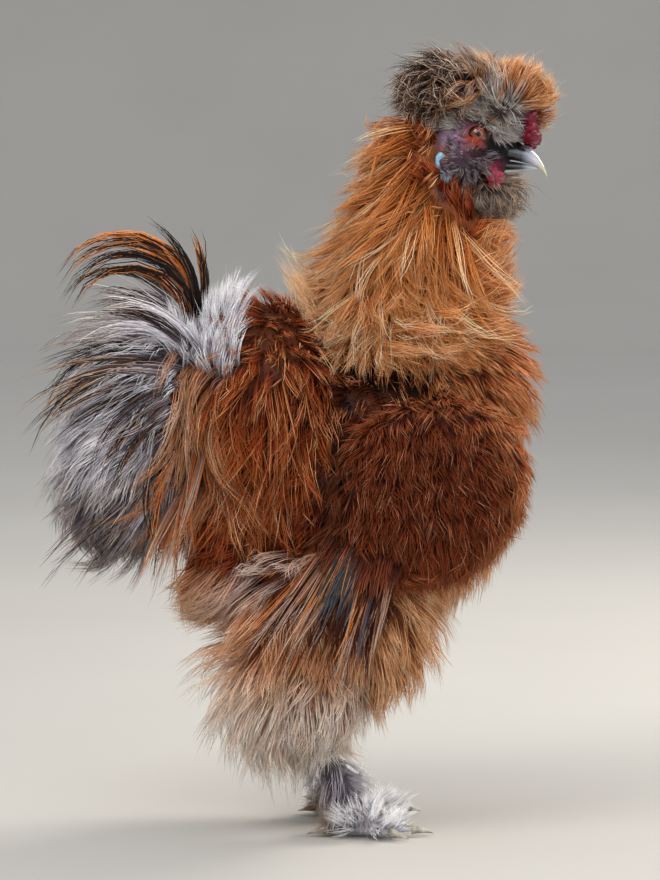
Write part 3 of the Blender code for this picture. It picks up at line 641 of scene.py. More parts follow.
def strand_mesh(name, lines, wide, width, colours, patches):
    """One mesh of many strands. Lines is (strands, stations, 3), and so are wide and colours."""
    count, stations = lines.shape[:2]
    steps = stations - 1
    tangent = unit(np.gradient(lines, axis=1))
    wide = unit(wide - tangent * dot(wide, tangent))
    deep = np.cross(tangent, wide)
    t = np.linspace(0, 1, stations)[None, :, None]
    half = width[:, None, None] / 2 * (1 - 0.72 * t ** 1.5)
    ring = np.stack([lines - wide * half, lines + wide * half, lines + deep * half * 0.9], axis=2)
    verts = np.concatenate([ring[:, :steps].reshape(count, steps * 3, 3), lines[:, -1:]], axis=1)
    tints = np.concatenate([np.repeat(colours[:, :steps], 3, axis=1), colours[:, -1:]], axis=1)
    flat = np.concatenate([np.repeat(patches[:, :steps], 3, axis=1), patches[:, -1:]], axis=1)
    per = steps * 3 + 1
    faces = (strand_faces(steps)[None] + (np.arange(count) * per)[:, None, None]).reshape(-1, 3)
    mesh = bpy.data.meshes.new(name)
    mesh.vertices.add(count * per)
    mesh.vertices.foreach_set("co", to_frame(verts.reshape(-1, 3)).ravel())
    mesh.loops.add(faces.size)
    mesh.loops.foreach_set("vertex_index", faces.ravel().astype(np.int32))
    mesh.polygons.add(len(faces))
    mesh.polygons.foreach_set("loop_start", np.arange(0, faces.size, 3, dtype=np.int32))
    tint = mesh.color_attributes.new("tint", "FLOAT_COLOR", "POINT")
    rgba = np.ones((count * per, 4), np.float32)
    rgba[:, :3] = tints.reshape(-1, 3)
    tint.data.foreach_set("color", rgba.ravel())
    layer = mesh.uv_layers.new(name="OFBake")
    layer.data.foreach_set("uv", flat.reshape(-1, 2)[faces.ravel()].astype(np.float32).ravel())
    mesh.update(calc_edges=True)
    mesh.shade_smooth()
    made = bpy.data.objects.new(name, mesh)
    bpy.context.scene.collection.objects.link(made)
    return made


PATCH = 0.003
MOST_TRIANGLES = 199000


def tuft_patches(roots, many, steps):
    """Each tuft's patch of the unwrap, with its strands side by side in it."""
    base = unwrap(roots)[:, None, None, :]
    across = ((np.arange(many) + 0.5) / many - 0.5)[None, :, None]
    along = (np.linspace(0, 1, steps + 1) - 0.5)[None, None, :]
    shape = (len(roots), many, steps + 1)
    offset = np.stack([np.broadcast_to(across, shape), np.broadcast_to(along, shape)], axis=-1)
    return base + offset * PATCH


def lay_coat(name, guides, ups, roots, coat, rng):
    """The coat's strands as one piece, or as a piece for each side."""
    many, steps = coat["strands"], guides.shape[1] - 1
    lines, wide = strands_round(guides, ups, coat, rng)
    colours = strand_colours(coat, roots, many, steps, rng)
    patches = tuft_patches(roots, many, steps)
    width = rng.uniform(0.75, 1.2, (len(roots), many)) * coat["width"]
    groups = {"": np.ones(len(roots), bool)}
    if coat.get("sided"):
        groups = {"_right": roots[:, 1] < 0, "_left": roots[:, 1] >= 0}
    for ending, rows in groups.items():
        def flat(values):
            return values[rows].reshape(-1, *values.shape[2:])

        piece = strand_mesh(
            name + ending, flat(lines), flat(wide), flat(width), flat(colours), flat(patches),
        )
        count = len(piece.data.polygons)
        if count > MOST_TRIANGLES:
            raise ValueError(f"{piece.name} has {count} triangles")
        finish_piece(piece, coat["finish"], coat["slot"], *coat.get("nodes", []))


def grow_coat(name, field, coat):
    rng = np.random.default_rng(coat["seed"])
    roots, normals = pick_roots(field, coat["zones"], coat["count"], coat["keep"], rng)
    guides, ups = grow_guides(field, roots, normals, coat, rng)
    lay_coat(name, guides, ups, roots, coat, rng)


# How each coat lies. Each flow takes the places now, the roots and the share of the length grown.
def away(places, pole):
    return unit(places - pole)


def sided(roots, x, y, z):
    """The same place on each root's own side."""
    side = np.where(roots[:, 1] < 0, -1.0, 1.0)
    return np.stack([np.full(len(roots), x), y * side, np.full(len(roots), z)], axis=1)


def vector(x, y, z):
    return np.array((x, y, z), float)


def backness(roots):
    """0 at the front of the neck and 1 at its back."""
    axis_x = 35 + (roots[:, 2] - 204) * 0.19
    return np.clip(0.5 - (roots[:, 0] - axis_x) / 64, 0, 1)


def hackle_length(roots):
    """Longest down the back of the neck, and shorter at the foot of the cape and by the crest."""
    low, high = ease(roots[:, 2], 246, 212), ease(roots[:, 2], 275, 302) * backness(roots)
    return (38 + 14 * backness(roots)) * (1 - 0.42 * low - 0.4 * high)


def hackle_flow(places, roots, t):
    low = ease(roots[:, 2], 272, 244)[:, None]
    high_pole, low_pole = vector(64, 0, 306), sided(roots, 43, 8, 258)
    flow = away(places, high_pole) * (1 - low) + away(places, low_pole) * low
    nape = backness(roots)[:, None]
    curl = vector(1, 0, 0.1) * 1.5 * low * (1 - ease(nape, 0.6, 1.0)) * t ** 1.4
    high = ease(roots[:, 2], 262, 290)[:, None]
    flick = vector(-0.3, 0, 0.45) * nape * t * (1 + 1.2 * high)
    return flow + vector(0, 0, -0.35) + curl + flick


def breast_flow(places, roots, t):
    throat = ease(roots[:, 2], 248, 268)[:, None]
    return away(places, vector(42, 0, 218)) + vector(0.35, 0, -0.15) + vector(0.2, 0, -1.1) * throat


def flow_from(x, y, z, *drift):
    """A flow away from a pole, or away from one on each side where the pole is off the middle."""
    def flow(places, roots, t):
        pole = sided(roots, x, y, z) if y else vector(x, y, z)
        return away(places, pole) + vector(*drift)

    return flow


under_flow = flow_from(20, 0, 230, 0, 0, -0.6)
wing_flow = flow_from(30, 18, 222, 0.05, 0, -0.2)
shoulder_flow = flow_from(45, 0, 215, -0.3, 0, -0.3)
saddle_flow = flow_from(6, 0, 262, 0.2, 0, -0.45)
cover_flow = flow_from(-44, 20, 222, -0.15, 0, -0.5)
white_flow = flow_from(-46, 0, 190, 0.1, 0, 0.6)
thigh_flow = flow_from(4, 14, 150, 0, 0, -0.25)
leg_flow = flow_from(0, 20, 90, 0.05, 0, -0.6)
toe_flow = flow_from(FOOT_X + 5, LEG_SPREAD + 2, 3, 0, 0, 0.25)
pom_flow = flow_from(72, 13, 308, 0.05, 0, 0.1)
beard_flow = flow_from(70, 0, 292, 0.3, 0, -0.2)
cheek_flow = flow_from(57, 8, 289.5, -0.1, 0, -0.1)


def tail_corner(roots):
    """How low each root lies on the tail, and how far back."""
    return ease(roots[:, 2], 150, 125), ease(roots[:, 0], -82, -98)


def tail_length(roots):
    low, back = tail_corner(roots)
    return 26 + low * (16 - 18 * back)


def tail_stand(roots):
    low, back = tail_corner(roots)
    return 12 + low * (11 - 18 * back)


def tail_flow(places, roots, t):
    low, back = tail_corner(roots)
    under = vector(1.1, 0, -0.3) * (low * back)[:, None]
    return away(places, vector(-44, 0, 206)) + vector(-0.1, 0, -0.5 * t) + under


def lobe_flow(places, roots, t):
    return away(places, vector(65, 0, 316)) + vector(-0.35 * t, 0, -0.9 * t)


def edge_flow(places, roots, t):
    return vector(1.0, 0, -0.05 - 0.12 * t) + 0 * places


# Where each coat changes its colours.
def hackle_shades(roots):
    x, z = roots[:, 0], roots[:, 2]
    # Paler toward the back of the neck: partly paler feathers, partly painted backlight on the nape's edge.
    pale = ease(x, 30, 4) * 0.7
    dark = ease(z, 290, 305) * ease(x, 46, 56)
    bright = ease(x, 48, 66) * ease(z, 300, 280) * 0.8
    return [("hackle", 0.4 + 0 * x), ("hackle_pale", pale), ("nape_dark", dark),
            ("hackle_bright", bright + 0.2)]


def breast_shades(roots):
    low, high = ease(roots[:, 2], 165, 110), ease(roots[:, 2], 205, 240)
    return [("breast", 1 - low), ("breast_low", low + 0.02), ("hackle", high * 3)]


def painted_shade_depth(roots):
    """How deep each place lies in the painted shade behind the wing and under the cape: near-black strands
    and skin stand in for the shade there.
    """
    x, _, z = roots.T
    behind = np.exp(-((x - 3 + (z - 150) * -0.12) / 6) ** 2) * ease(z, 196, 184) * ease(z, 122, 134)
    under = np.exp(-((z - 196 + 0.25 * (x - 20)) / 7) ** 2) * ease(x, 60, 40) * ease(x, -8, 4)
    return behind + under


def wing_shades(roots):
    rim = ease(np.hypot(roots[:, 0] - 38, roots[:, 2] - 152), 26, 44)
    # Behind the wing, strands of the shade palette are painted shade.
    return [("wing", 1.02 - rim), ("shoulder", rim * ease(roots[:, 0], 70, 50)), ("breast", rim * 0.6),
            ("shade", 2.5 * painted_shade_depth(roots) * ease(roots[:, 0], 16, 4))]


def shoulder_shades(roots):
    # Near-black strands of painted shade where shade falls under the cape and behind the wing.
    return [("shoulder", 1.0), ("shade", 5 * painted_shade_depth(roots))]


def saddle_shades(roots):
    x, z = roots[:, 0], roots[:, 2]
    grey = ease(x, -44, -60) * ease(z, 210, 190) * 0.9
    return [("saddle", 1 - grey), ("saddle_grey", grey)]


def cover_shades(roots):
    grey = ease(roots[:, 2], 176, 190) * 0.8 + 0.2
    return [("saddle_grey", grey), ("hackle_pale", grey * 0.5), ("saddle", 0.5), ("hackle_bright", 0.4)]


def tail_shades(roots):
    low = ease(roots[:, 2], 168, 132)
    white = ease(roots[:, 2], 148, 176) * 2.0
    return [("tail_grey", 1 - 0.7 * low), ("tail_slate", low * 1.3 + 0.01), ("white", white)]


def down_patch(roots):
    """1 in the middle of the short grey down that shows behind the wing's tip."""
    x, z = roots[:, 0], roots[:, 2]
    return np.exp(-((x + 18) ** 2 / 18 ** 2 + (z - 114) ** 2 / 8 ** 2))


def thigh_length(roots):
    return (26 + 12 * ease(roots[:, 0], 0, -30)) * (1 - 0.5 * down_patch(roots))


def thigh_shades(roots):
    x, z = roots[:, 0], roots[:, 2]
    front = ease(x, 5, 35)
    patch = down_patch(roots) * 2.6
    low = ease(z, 84, 62) * 3.0
    return [("thigh", (1 - front)), ("thigh_front", front), ("grey_patch", patch), ("leg_beige", low)]


def leg_shades(roots):
    high = ease(roots[:, 2], 34, 44)
    return [("shank_grey", 1 - high + 0.01), ("leg_beige", high)]


def toe_puff(roots):
    """1 on the white puff over the front toes and 0 at the heel."""
    return ease(roots[:, 0], 3, 10)


def toe_shades(roots):
    puff = toe_puff(roots)
    return [("toe_white", puff + 0.02), ("toe_brown", 1 - puff)]


def pom_gone(roots):
    """How far a root is from the middle of the front crest, seen from its side."""
    return np.hypot(roots[:, 0] - 72, roots[:, 2] - 308)


def pom_length(roots):
    """Shorter toward the comb and over the right eye, so that both show, and longest on the left."""
    ahead, over = roots[:, 0] - 72, roots[:, 2] - 308
    comb_side = ease(ahead, 0, 4) * ease(over, 7, 3) * (roots[:, 1] < 0)
    low_side = ease(over, 1, -3) * (roots[:, 1] < 3)
    return 20 - 11 * comb_side - 9 * low_side * (1 - comb_side)


def pom_shades(roots):
    grey = ease(pom_gone(roots), 12, 6) + ease(roots[:, 2], 304, 300) * 0.6
    return [("pom", 1.01 - np.minimum(grey, 1)), ("pom_grey", grey)]


def lobe_shades(roots):
    x, _, z = roots.T
    tuft = np.exp(-((x - 64) ** 2 + (z - 318) ** 2) / 16) * 3
    cream = 1.4 * ease(x, 58, 65) * ease(z, 318, 324)
    return [("crest_dark", 1.0), ("pom", tuft + 0.2 * ease(x, 60, 68)), ("crest_cream", cream)]


def under_shades(roots):
    """The short coat under the others carries their colours."""
    x, _, z = roots.T
    tail = ease(x, -50, -62)
    white = ease(x, -36, -44) * ease(z, 195, 205) * 1.5
    low = ease(z, 122, 108) * (1 - tail)
    wing = ease(np.hypot(x - 40, z - 152), 50, 38) * (z < 200)
    neck = ease(z, 200, 215) * (x > -20)
    rest = np.clip(1 - tail - white - low - wing - neck, 0.02, 1)
    return [("tail_grey", tail), ("white", white), ("thigh", low), ("wing", wing), ("hackle", neck),
            ("saddle", rest * (x < 0)), ("breast", rest * (x >= 0) + 0.01)]


# Which part of its zone each coat covers.
def everywhere(middle):
    return np.ones(len(middle), bool)


def cape_front(z):
    """How far ahead the cape reaches at each height."""
    return np.interp(z, (205, 250, 262, 273, 285, 312), (54, 58, 55, 46, 38, 38))


def is_hackle(middle):
    x, z = middle[:, 0], middle[:, 2]
    return (x < cape_front(z)) & (z > 214) & (z < 306)


def is_breast(middle):
    x, z = middle[:, 0], middle[:, 2]
    ahead = (x > 26 + 0.35 * (z - 160)) | (z < 118)
    return ahead & (x > 18) & (z < 280) & ~is_hackle(middle)


def is_shoulder(middle):
    return ~is_breast(middle) & ~is_hackle(middle) & (middle[:, 2] > 118)


def is_vent(middle):
    return (middle[:, 0] <= 18) & (middle[:, 2] <= 118)


def is_rump(middle):
    x, _, z = middle.T
    return (x > -66) & (x < -40) & (z > 198)


def is_cheek(middle):
    x, _, z = middle.T
    ahead = (x > 60) & (x < 68.5) & (z > 284.5) & (z < 291.5)
    return ((np.hypot(x - 56, z - 289) < 9) | ahead) & (np.hypot(x - 62, z - 299) > 6) & (x > 51)


def is_brow(middle):
    x, _, z = middle.T
    return (z > 303 + 3 * (abs(x - 63) < 6)) | (z > 300) & (x > 69) & (x < 76)


def is_toes(middle):
    return (middle[:, 2] > 3.0) & (middle[:, 2] < 12) & (middle[:, 0] < 32)


def is_shank(middle):
    return (middle[:, 2] >= 12) & (middle[:, 2] < 66)


def plain(palette):
    """The same palette over a whole coat."""
    return lambda roots: [(palette, 1.0)]


def pair(name):
    """The names of a part on both sides."""
    return [f"{name}_{side}" for side in SIDES]


WINGS, THIGHS, LEGS, MUFFS = (pair(name) for name in ("wing", "thigh", "leg", "muff"))


def neck_coats(silky, plush, fluffy):
    """The underfur, and the coats of the neck and breast."""
    return {
        "underfur": dict(
            seed=20, zones=["neck", "torso", "saddle", "tail"] + WINGS + THIGHS,
            keep=lambda m: (m[:, 2] < 262) | (m[:, 0] < 42),
            count=1000, strands=5, steps=2, length=11, stand=5, flow=under_flow, shades=under_shades,
            spread=4.2, gather=1.2, frizz=1.2, width=1.0, sided=True, finish=fluffy,
            slot="thigh_fluff",
        ),
        "hackle": dict(
            seed=1, zones=["neck", "torso"], keep=is_hackle, count=1000, strands=10, steps=4,
            length=hackle_length, stand=lambda r: 7 + 22 * backness(r) ** 2,
            flow=hackle_flow, shades=hackle_shades, spread=3.2, gather=0.4, frizz=1.1, width=0.46,
            stray=0.08, bend=0.7, sway=0.28, sided=True, finish=silky, slot="hackle_feathers",
            nodes=["neck"],
        ),
        "wisps": dict(
            seed=21, zones=["neck", "torso"], keep=lambda m: is_hackle(m) & (m[:, 2] > 222), count=110,
            strands=7, steps=5, length=lambda r: hackle_length(r) + 8, stand=lambda r: 12 + 26 * backness(r),
            flow=hackle_flow, shades=plain("hackle_pale"), spread=2.4, gather=0.3, frizz=1.6,
            width=0.38, stray=0.2, bend=1.1, sway=0.4, finish=silky, slot="hackle_feathers",
        ),
        "cape_edge": dict(
            seed=22, zones=["neck", "torso"],
            keep=lambda m: (m[:, 0] > -4) & (m[:, 0] < 34) & (m[:, 2] > 208) & (m[:, 2] < 220)
            & (abs(m[:, 1]) > 22), count=34, strands=15, steps=6,
            length=lambda r: 56 - 0.6 * r[:, 0], stand=lambda r: 14 + 16 * backness(r) ** 2, flow=edge_flow,
            shades=lambda r: [("hackle_bright", 0.8), ("hackle_pale", 0.4)], spread=3.0, gather=0.3,
            frizz=1.0, width=0.42, stray=0.1, bend=0.5, sway=0.12, finish=silky, slot="hackle_feathers",
        ),
        "breast": dict(
            seed=2, zones=["neck", "torso"] + THIGHS, keep=is_breast, count=860, strands=11, steps=3,
            length=lambda r: 18 + 11 * ease(r[:, 2], 135, 100), lift=0.7, steep=2.2,
            stand=lambda r: 11 + 8 * ease(r[:, 2], 140, 100), flow=breast_flow, shades=breast_shades,
            spread=3.8, gather=1.0, frizz=1.1, width=0.47, stray=0.02, sided=True, finish=plush,
            slot="breast_feathers", nodes=["torso"],
        ),
    }


def wing_coats(plush):
    """The short coats of the wings and of the shoulder behind them."""
    return {
        "wing_bow": dict(
            seed=3, zones=WINGS, keep=everywhere, count=930, strands=15, steps=2,
            length=lambda r: 13 + 7 * ease(r[:, 2], 150, 125), stand=6, lift=0.6, steep=2.4, flow=wing_flow,
            shades=wing_shades, spread=4.4, gather=0.95, frizz=1.0, width=0.46, sway=0.35, stray=0.02,
            sided=True, finish=plush, slot="wing_feathers",
        ),
        "shoulder": dict(
            seed=4, zones=["torso", "neck"], keep=is_shoulder, count=440, strands=13, steps=2, length=14,
            stand=8, lift=0.7, flow=shoulder_flow, shades=shoulder_shades, spread=3.4, gather=0.9,
            frizz=1.1, width=0.42, sway=0.5, stray=0.02, finish=plush, slot="wing_feathers",
        ),
    }


def rear_coats(silky, fluffy):
    """The saddle, the white rump and the tail under its plumes."""
    return {
        "saddle_hackle": dict(
            seed=5, zones=["saddle"], keep=lambda m: ~is_rump(m), count=520, strands=10, steps=4,
            length=lambda r: 17 + 35 * ease(r[:, 2], 214, 180), stand=13, flow=saddle_flow,
            shades=saddle_shades, spread=3.2, gather=0.45, frizz=1.2, width=0.46, stray=0.1, bend=0.5,
            sided=True, finish=silky, slot="saddle_feathers", nodes=["saddle"],
        ),
        "saddle_wisps": dict(
            seed=26, zones=["saddle"], keep=lambda m: (m[:, 0] > -44) & (m[:, 2] > 165) & (abs(m[:, 1]) > 18),
            count=26, strands=4, steps=4, length=34, stand=15, flow=saddle_flow,
            shades=plain("hackle"), spread=2.0, gather=0.5, frizz=1.4, width=0.4,
            stray=0.2, bend=1.0, sway=0.3, finish=silky, slot="saddle_feathers",
        ),
        "rump": dict(
            seed=6, zones=["saddle", "tail"], keep=is_rump, count=210,
            strands=12, steps=3, length=24, stand=19, lift=0.7, steep=2.5, flow=white_flow,
            shades=plain("white"), spread=3.0, gather=1.0, frizz=0.8, width=0.44,
            finish=fluffy, slot="tail_feathers",
        ),
        "tail_down": dict(
            seed=7, zones=["tail"], keep=lambda m: ~is_rump(m), count=360, strands=11, steps=3,
            length=tail_length, stand=tail_stand, lift=0.8, flow=tail_flow,
            shades=tail_shades, spread=3.8, gather=0.9, frizz=1.2, width=0.48, sided=True,
            finish=fluffy, slot="tail_feathers", nodes=["tail"],
        ),
        "tail_cover": dict(
            seed=25, zones=["saddle", "tail"],
            keep=lambda m: (m[:, 0] > -66) & (m[:, 0] < -46) & (m[:, 2] > 150) & (m[:, 2] < 212)
            & (abs(m[:, 1]) > 12), count=120, strands=12, steps=5,
            length=lambda r: 44 + 14 * ease(r[:, 2], 200, 170), stand=15, lift=0.6, flow=cover_flow,
            shades=cover_shades, spread=3.2, gather=0.4, frizz=1.2, width=0.44, stray=0.1, bend=0.4,
            finish=silky, slot="tail_feathers",
        ),
    }


def leg_coats(fluffy):
    """The down of the belly, thighs, shanks and toes."""
    return {
        "vent": dict(
            seed=8, zones=["torso"], keep=is_vent, count=210, strands=10, steps=3,
            length=lambda r: 28 + 7 * ease(r[:, 0], -10, -40), stand=18, lift=0.8, steep=1.8,
            flow=thigh_flow, shades=thigh_shades, spread=3.8, gather=1.0, frizz=1.2, width=0.46,
            stray=0.02, finish=fluffy, slot="thigh_fluff",
        ),
        "thigh_fluff": dict(
            seed=9, zones=THIGHS, keep=lambda m: ~is_breast(m), count=560, strands=11, steps=3,
            length=thigh_length, lift=0.7, steep=2.2,
            stand=lambda r: (14 + 15 * ease(r[:, 0], -4, -30)) * (1 - 0.5 * ease(abs(r[:, 1]), 34, 46)),
            flow=thigh_flow, shades=thigh_shades,
            spread=3.8, gather=1.0, frizz=1.2, width=0.46, stray=0.02, sided=True, finish=fluffy,
            slot="thigh_fluff",
        ),
        "shank_fluff": dict(
            seed=10, zones=LEGS + THIGHS, keep=is_shank, count=270, strands=11, steps=3,
            length=lambda r: 20 + 6 * ease(r[:, 2], 42, 56), stand=lambda r: 10 + 2 * ease(r[:, 2], 42, 56),
            flow=leg_flow, shades=leg_shades, spread=3.0, gather=1.0, frizz=1.1, width=0.42, lift=0.7,
            finish=fluffy, slot="shank_down",
        ),
        "toe_fluff": dict(
            seed=11, zones=LEGS, keep=is_toes, count=270, strands=13, steps=2,
            length=lambda r: 10 + 4 * toe_puff(r), stand=lambda r: 6 + 7 * toe_puff(r), lift=0.6,
            steep=4.0, flow=toe_flow, shades=toe_shades, spread=2.0, gather=1.4, frizz=0.8, width=0.36,
            sway=0.5, finish=fluffy, slot="foot_down",
        ),
    }


def head_coats(silky, fluffy):
    """The crest, brow, beard and cheeks."""
    return {
        "pom": dict(
            seed=12, zones=["crest_front"], keep=lambda m: (m[:, 0] < 76) | (m[:, 2] > 311) | (m[:, 1] > 3),
            count=350, strands=11, steps=3, length=pom_length, stand=10, lift=0.5,
            steep=3.0, flow=pom_flow, shades=pom_shades, spread=2.0, gather=1.1, frizz=0.8,
            width=0.32, stray=0.05, finish=silky, slot="crest_feathers", nodes=["crest_front"],
        ),
        "pom_star": dict(
            seed=23, zones=["crest_front", "head"], keep=lambda m: (pom_gone(m) < 7) & (abs(m[:, 1]) > 6),
            count=130, strands=10, steps=2, length=9, stand=7.5, lift=0.5, steep=4.0, flow=pom_flow,
            shades=plain("pom_grey"), spread=1.4, gather=1.6, frizz=0.6, width=0.32, sway=1.4,
            finish=fluffy, slot="crest_feathers",
        ),
        "brow": dict(
            seed=24, zones=["head"], keep=is_brow, count=140, strands=10, steps=2, length=9, stand=6,
            lift=0.6, steep=2.5, flow=pom_flow, shades=plain("pom_grey"), spread=1.6,
            gather=1.1, frizz=0.7, width=0.34, finish=fluffy, slot="crest_feathers",
        ),
        "crest_lobe": dict(
            seed=13, zones=["crest_back"], keep=everywhere, count=290, strands=11, steps=4, length=25,
            stand=12, lift=0.7, steep=2.0, flow=lobe_flow, shades=lobe_shades, spread=1.8, gather=0.5,
            frizz=1.6, width=0.34, stray=0.12, bend=2.2, sway=0.5, finish=silky, slot="crest_feathers",
            nodes=["crest_back"],
        ),
        "beard_fluff": dict(
            seed=14, zones=["beard", "head"], keep=lambda m: (m[:, 2] < 283) & (m[:, 0] > 58), count=250,
            strands=9, steps=3, length=15, stand=8, lift=0.7, steep=2.0, flow=beard_flow,
            shades=plain("beard"), spread=2.0, gather=1.1, frizz=0.9, width=0.36,
            finish=fluffy, slot="face_down", nodes=["beard"],
        ),
        "cheek_fluff": dict(
            seed=15, zones=MUFFS + ["head"], keep=is_cheek, count=210, strands=10, steps=2, length=7,
            stand=4, lift=0.6, steep=2.5, flow=cheek_flow, shades=plain("cheek"),
            spread=1.4, gather=1.1, frizz=0.6, width=0.32, finish=fluffy, slot="face_down",
            nodes=MUFFS,
        ),
    }


# Single long feathers.
def arc(start, rise, fall, length, lean, steps):
    """A line that leaves at one angle and turns evenly to another, leaning sideways."""
    points = [np.array(start, float)]
    for i in range(steps):
        t = (i + 0.5) / steps
        angle = math.radians(rise + (fall - rise) * t)
        side = lean[0] * (1 - t) + lean[1] * t
        points.append(points[-1] + unit(np.array((math.cos(angle), side, math.sin(angle)))) * length / steps)
    return np.array(points)


def lay_feathers(name, arcs, out, coat):
    """Loose long feathers, each a bundle of strands round its arc."""
    rng = np.random.default_rng(coat["seed"])
    guides = np.array(arcs)
    ups = np.repeat(unit(np.array(out, float))[:, None, :], guides.shape[1], axis=1)
    lay_coat(name, guides, ups, guides[:, 0], coat, rng)


FLIGHT_ROWS = [
    # How many, the strands in each, their length, spread, gather, the way out and the shades.
    (7, 26, 44, 3.2, 0.8, 55.0, "slate_vane"),
    (42, 11, 74, 1.9, 0.55, 52.5, "flight"),
    (30, 9, 26, 2.6, 0.5, 56.0, "wing_fringe"),
]


def flights(finish):
    """The drooping flight feathers: slate vanes, and over them the loose shredded barbs."""
    for side, sign in SIDES.items():
        for row, (count, many, length, spread, gather, out, palette) in enumerate(FLIGHT_ROWS):
            draw = random.Random(300 + row)
            arcs, ways = [], []
            for k in range(count):
                t = (k + draw.uniform(0.1, 0.9)) / count
                if palette == "slate_vane":
                    t = t * 0.4 + 0.15
                root = (-1 + 30 * t, sign * (out + draw.uniform(-2, 2)), 129 - 9 * t + draw.uniform(-3, 3))
                rise = 232 + 26 * t + draw.uniform(-5, 5)
                fall = 226 + 40 * t ** 0.7 + draw.uniform(-12, 12)
                size = length * draw.uniform(0.62, 1.1) * (1 - 0.3 * t ** 2)
                arcs.append(arc(root, rise, fall, size, (sign * 0.48, -sign * 0.32), 5))
                ways.append((0.3, sign, 0.1))
            lay_feathers(f"flight_{row}_{side}", arcs, ways, dict(
                seed=31 + row, strands=many, spread=spread, gather=gather, depth=0.25, frizz=0.8,
                width=0.6, shortest=0.5, stray=0.12, closing=1.0, mixed=0.3,
                shades=plain(palette), finish=finish,
                slot="wing_feathers", nodes=[f"wing_{side}"],
            ))


SICKLES = [
    # x, y, z of the root, the angles that it leaves and ends at, length, lean and shade.
    (-58, -9, 222, 88, 256, 88, -0.08, "sickle"),
    (-60, -12, 219, 92, 262, 76, -0.12, "sickle"),
    (-57, -8, 224, 86, 252, 92, -0.06, "sickle"),
    (-59, -10, 221, 90, 258, 84, -0.09, "sickle_black"),
    (-59, -6, 222, 86, 240, 80, -0.02, "sickle_black"),
    (-57, -10, 224, 88, 150, 50, -0.08, "sickle_black"),
    (-54, -8, 224, 82, 112, 36, -0.05, "sickle_black"),
    (-55, -4, 224, 78, 120, 38, 0.0, "sickle"),
    (-59, 9, 221, 90, 258, 82, 0.1, "sickle"),
    (-62, 12, 216, 100, 240, 76, 0.2, "ribbon"),
]


# How many plumes lie on each side: in the fan, at its foot and down the middle of the back.
FAN_PLUMES, LOW_PLUMES, BACK_PLUMES = 72, 40, 9


def lay_tail(name, arcs, out, shade, finish, **settings):
    """Tail feathers, each with its own palette."""
    shade = np.array(shade)
    lay_feathers(name, arcs, out, dict(
        depth=0.3, frizz=1.0, stray=0.05, finish=finish, slot="tail_feathers",
        shades=lambda roots: [(p, (shade == p).astype(float)) for p in sorted(set(shade))], **settings,
    ))


def sickles(finish):
    """The tall dark plumes that arch over the root of the tail."""
    arcs = [arc(row[:3], *row[3:6], (row[6], row[6]), 6) for row in SICKLES]
    out = [(0, math.copysign(1, row[1]), 0.3) for row in SICKLES]
    lay_tail("sickle_plumes", arcs, out, [row[7] for row in SICKLES], finish, seed=36, strands=28,
             spread=2.2, gather=0.4, width=0.66, shortest=0.5)


def fan_plume(draw, sign, t):
    """One plume of the fan, from over the back at 0 to low behind at 1: its line, way out and palette."""
    far = draw.uniform(0.25, 1.0)
    rise = 114 + 132 * t + draw.uniform(-8, 8)
    reach = draw.uniform(42, 66) + 17 * math.exp(-((rise - 166) / 18) ** 2)
    up, fall = math.radians(rise), rise + 80 * (1 - 0.5 * t) + draw.uniform(-18, 24)
    away_x, away_z = math.cos(up) * 14 * far, math.sin(up) * 14 * far
    start = (-56 + away_x + draw.uniform(-3, 3), sign * (draw.uniform(3, 26) + 16 * t * far),
             206 - 22 * t + away_z + draw.uniform(-3, 3))
    line = arc(start, rise, fall, reach, (sign * 0.35 * far, -sign * 0.15), 6)
    veil = 12 if rise < 150 else 1.5 if rise < 190 else 0
    shade = draw.choices(("ribbon", "tail_veil", "sickle", "tail_slate"), (7, veil, 1, 2))[0]
    return line, (-0.2, sign, 0.3), shade


def low_plume(draw, sign, t):
    """One plume at the tail's foot, from beside the saddle at 0 to the back of the tail at 1."""
    start = (-52 - 38 * t ** 1.5, sign * draw.uniform(6, 36 - 10 * t), 166 - 12 * t + draw.uniform(-14, 10))
    rise = 256 - 34 * t + draw.uniform(-8, 8)
    fall = rise + draw.uniform(-14, 26)
    line = arc(start, rise, fall, draw.uniform(44, 58), (sign * 0.2, 0), 6)
    late = ("tail_slate", "ribbon", "tail_veil")
    shade = "saddle_grey" if t < 0.45 else draw.choices(late, (5, 3, 2))[0]
    return line, (-0.2, sign, 0.1), shade


def back_plume(draw, sign):
    """One plume that droops straight back over the middle of the tail."""
    start = (-70 - draw.uniform(0, 14), sign * draw.uniform(0, 16), 208 + draw.uniform(-6, 4))
    rise = draw.uniform(160, 200)
    line = arc(start, rise, draw.uniform(255, 278), draw.uniform(48, 66), (sign * 0.1, 0), 6)
    shade = draw.choices(("ribbon", "tail_veil", "tail_slate"), (5, 2, 2))[0]
    return line, (-1, sign * 0.2, 0.3), shade


def plumes(finish):
    """The curved plumes that fan out over the tail."""
    draw = random.Random(33)
    laid = []
    for sign in SIDES.values():
        laid += [fan_plume(draw, sign, (k + draw.random()) / FAN_PLUMES) for k in range(FAN_PLUMES)]
        laid += [low_plume(draw, sign, (k + draw.random()) / LOW_PLUMES) for k in range(LOW_PLUMES)]
        laid += [back_plume(draw, sign) for _ in range(BACK_PLUMES)]
    arcs, out, shade = zip(*laid)
    lay_tail("tail_plumes", arcs, out, shade, finish, seed=35, strands=13, spread=2.5, gather=0.35,
             width=0.56, shortest=0.45)


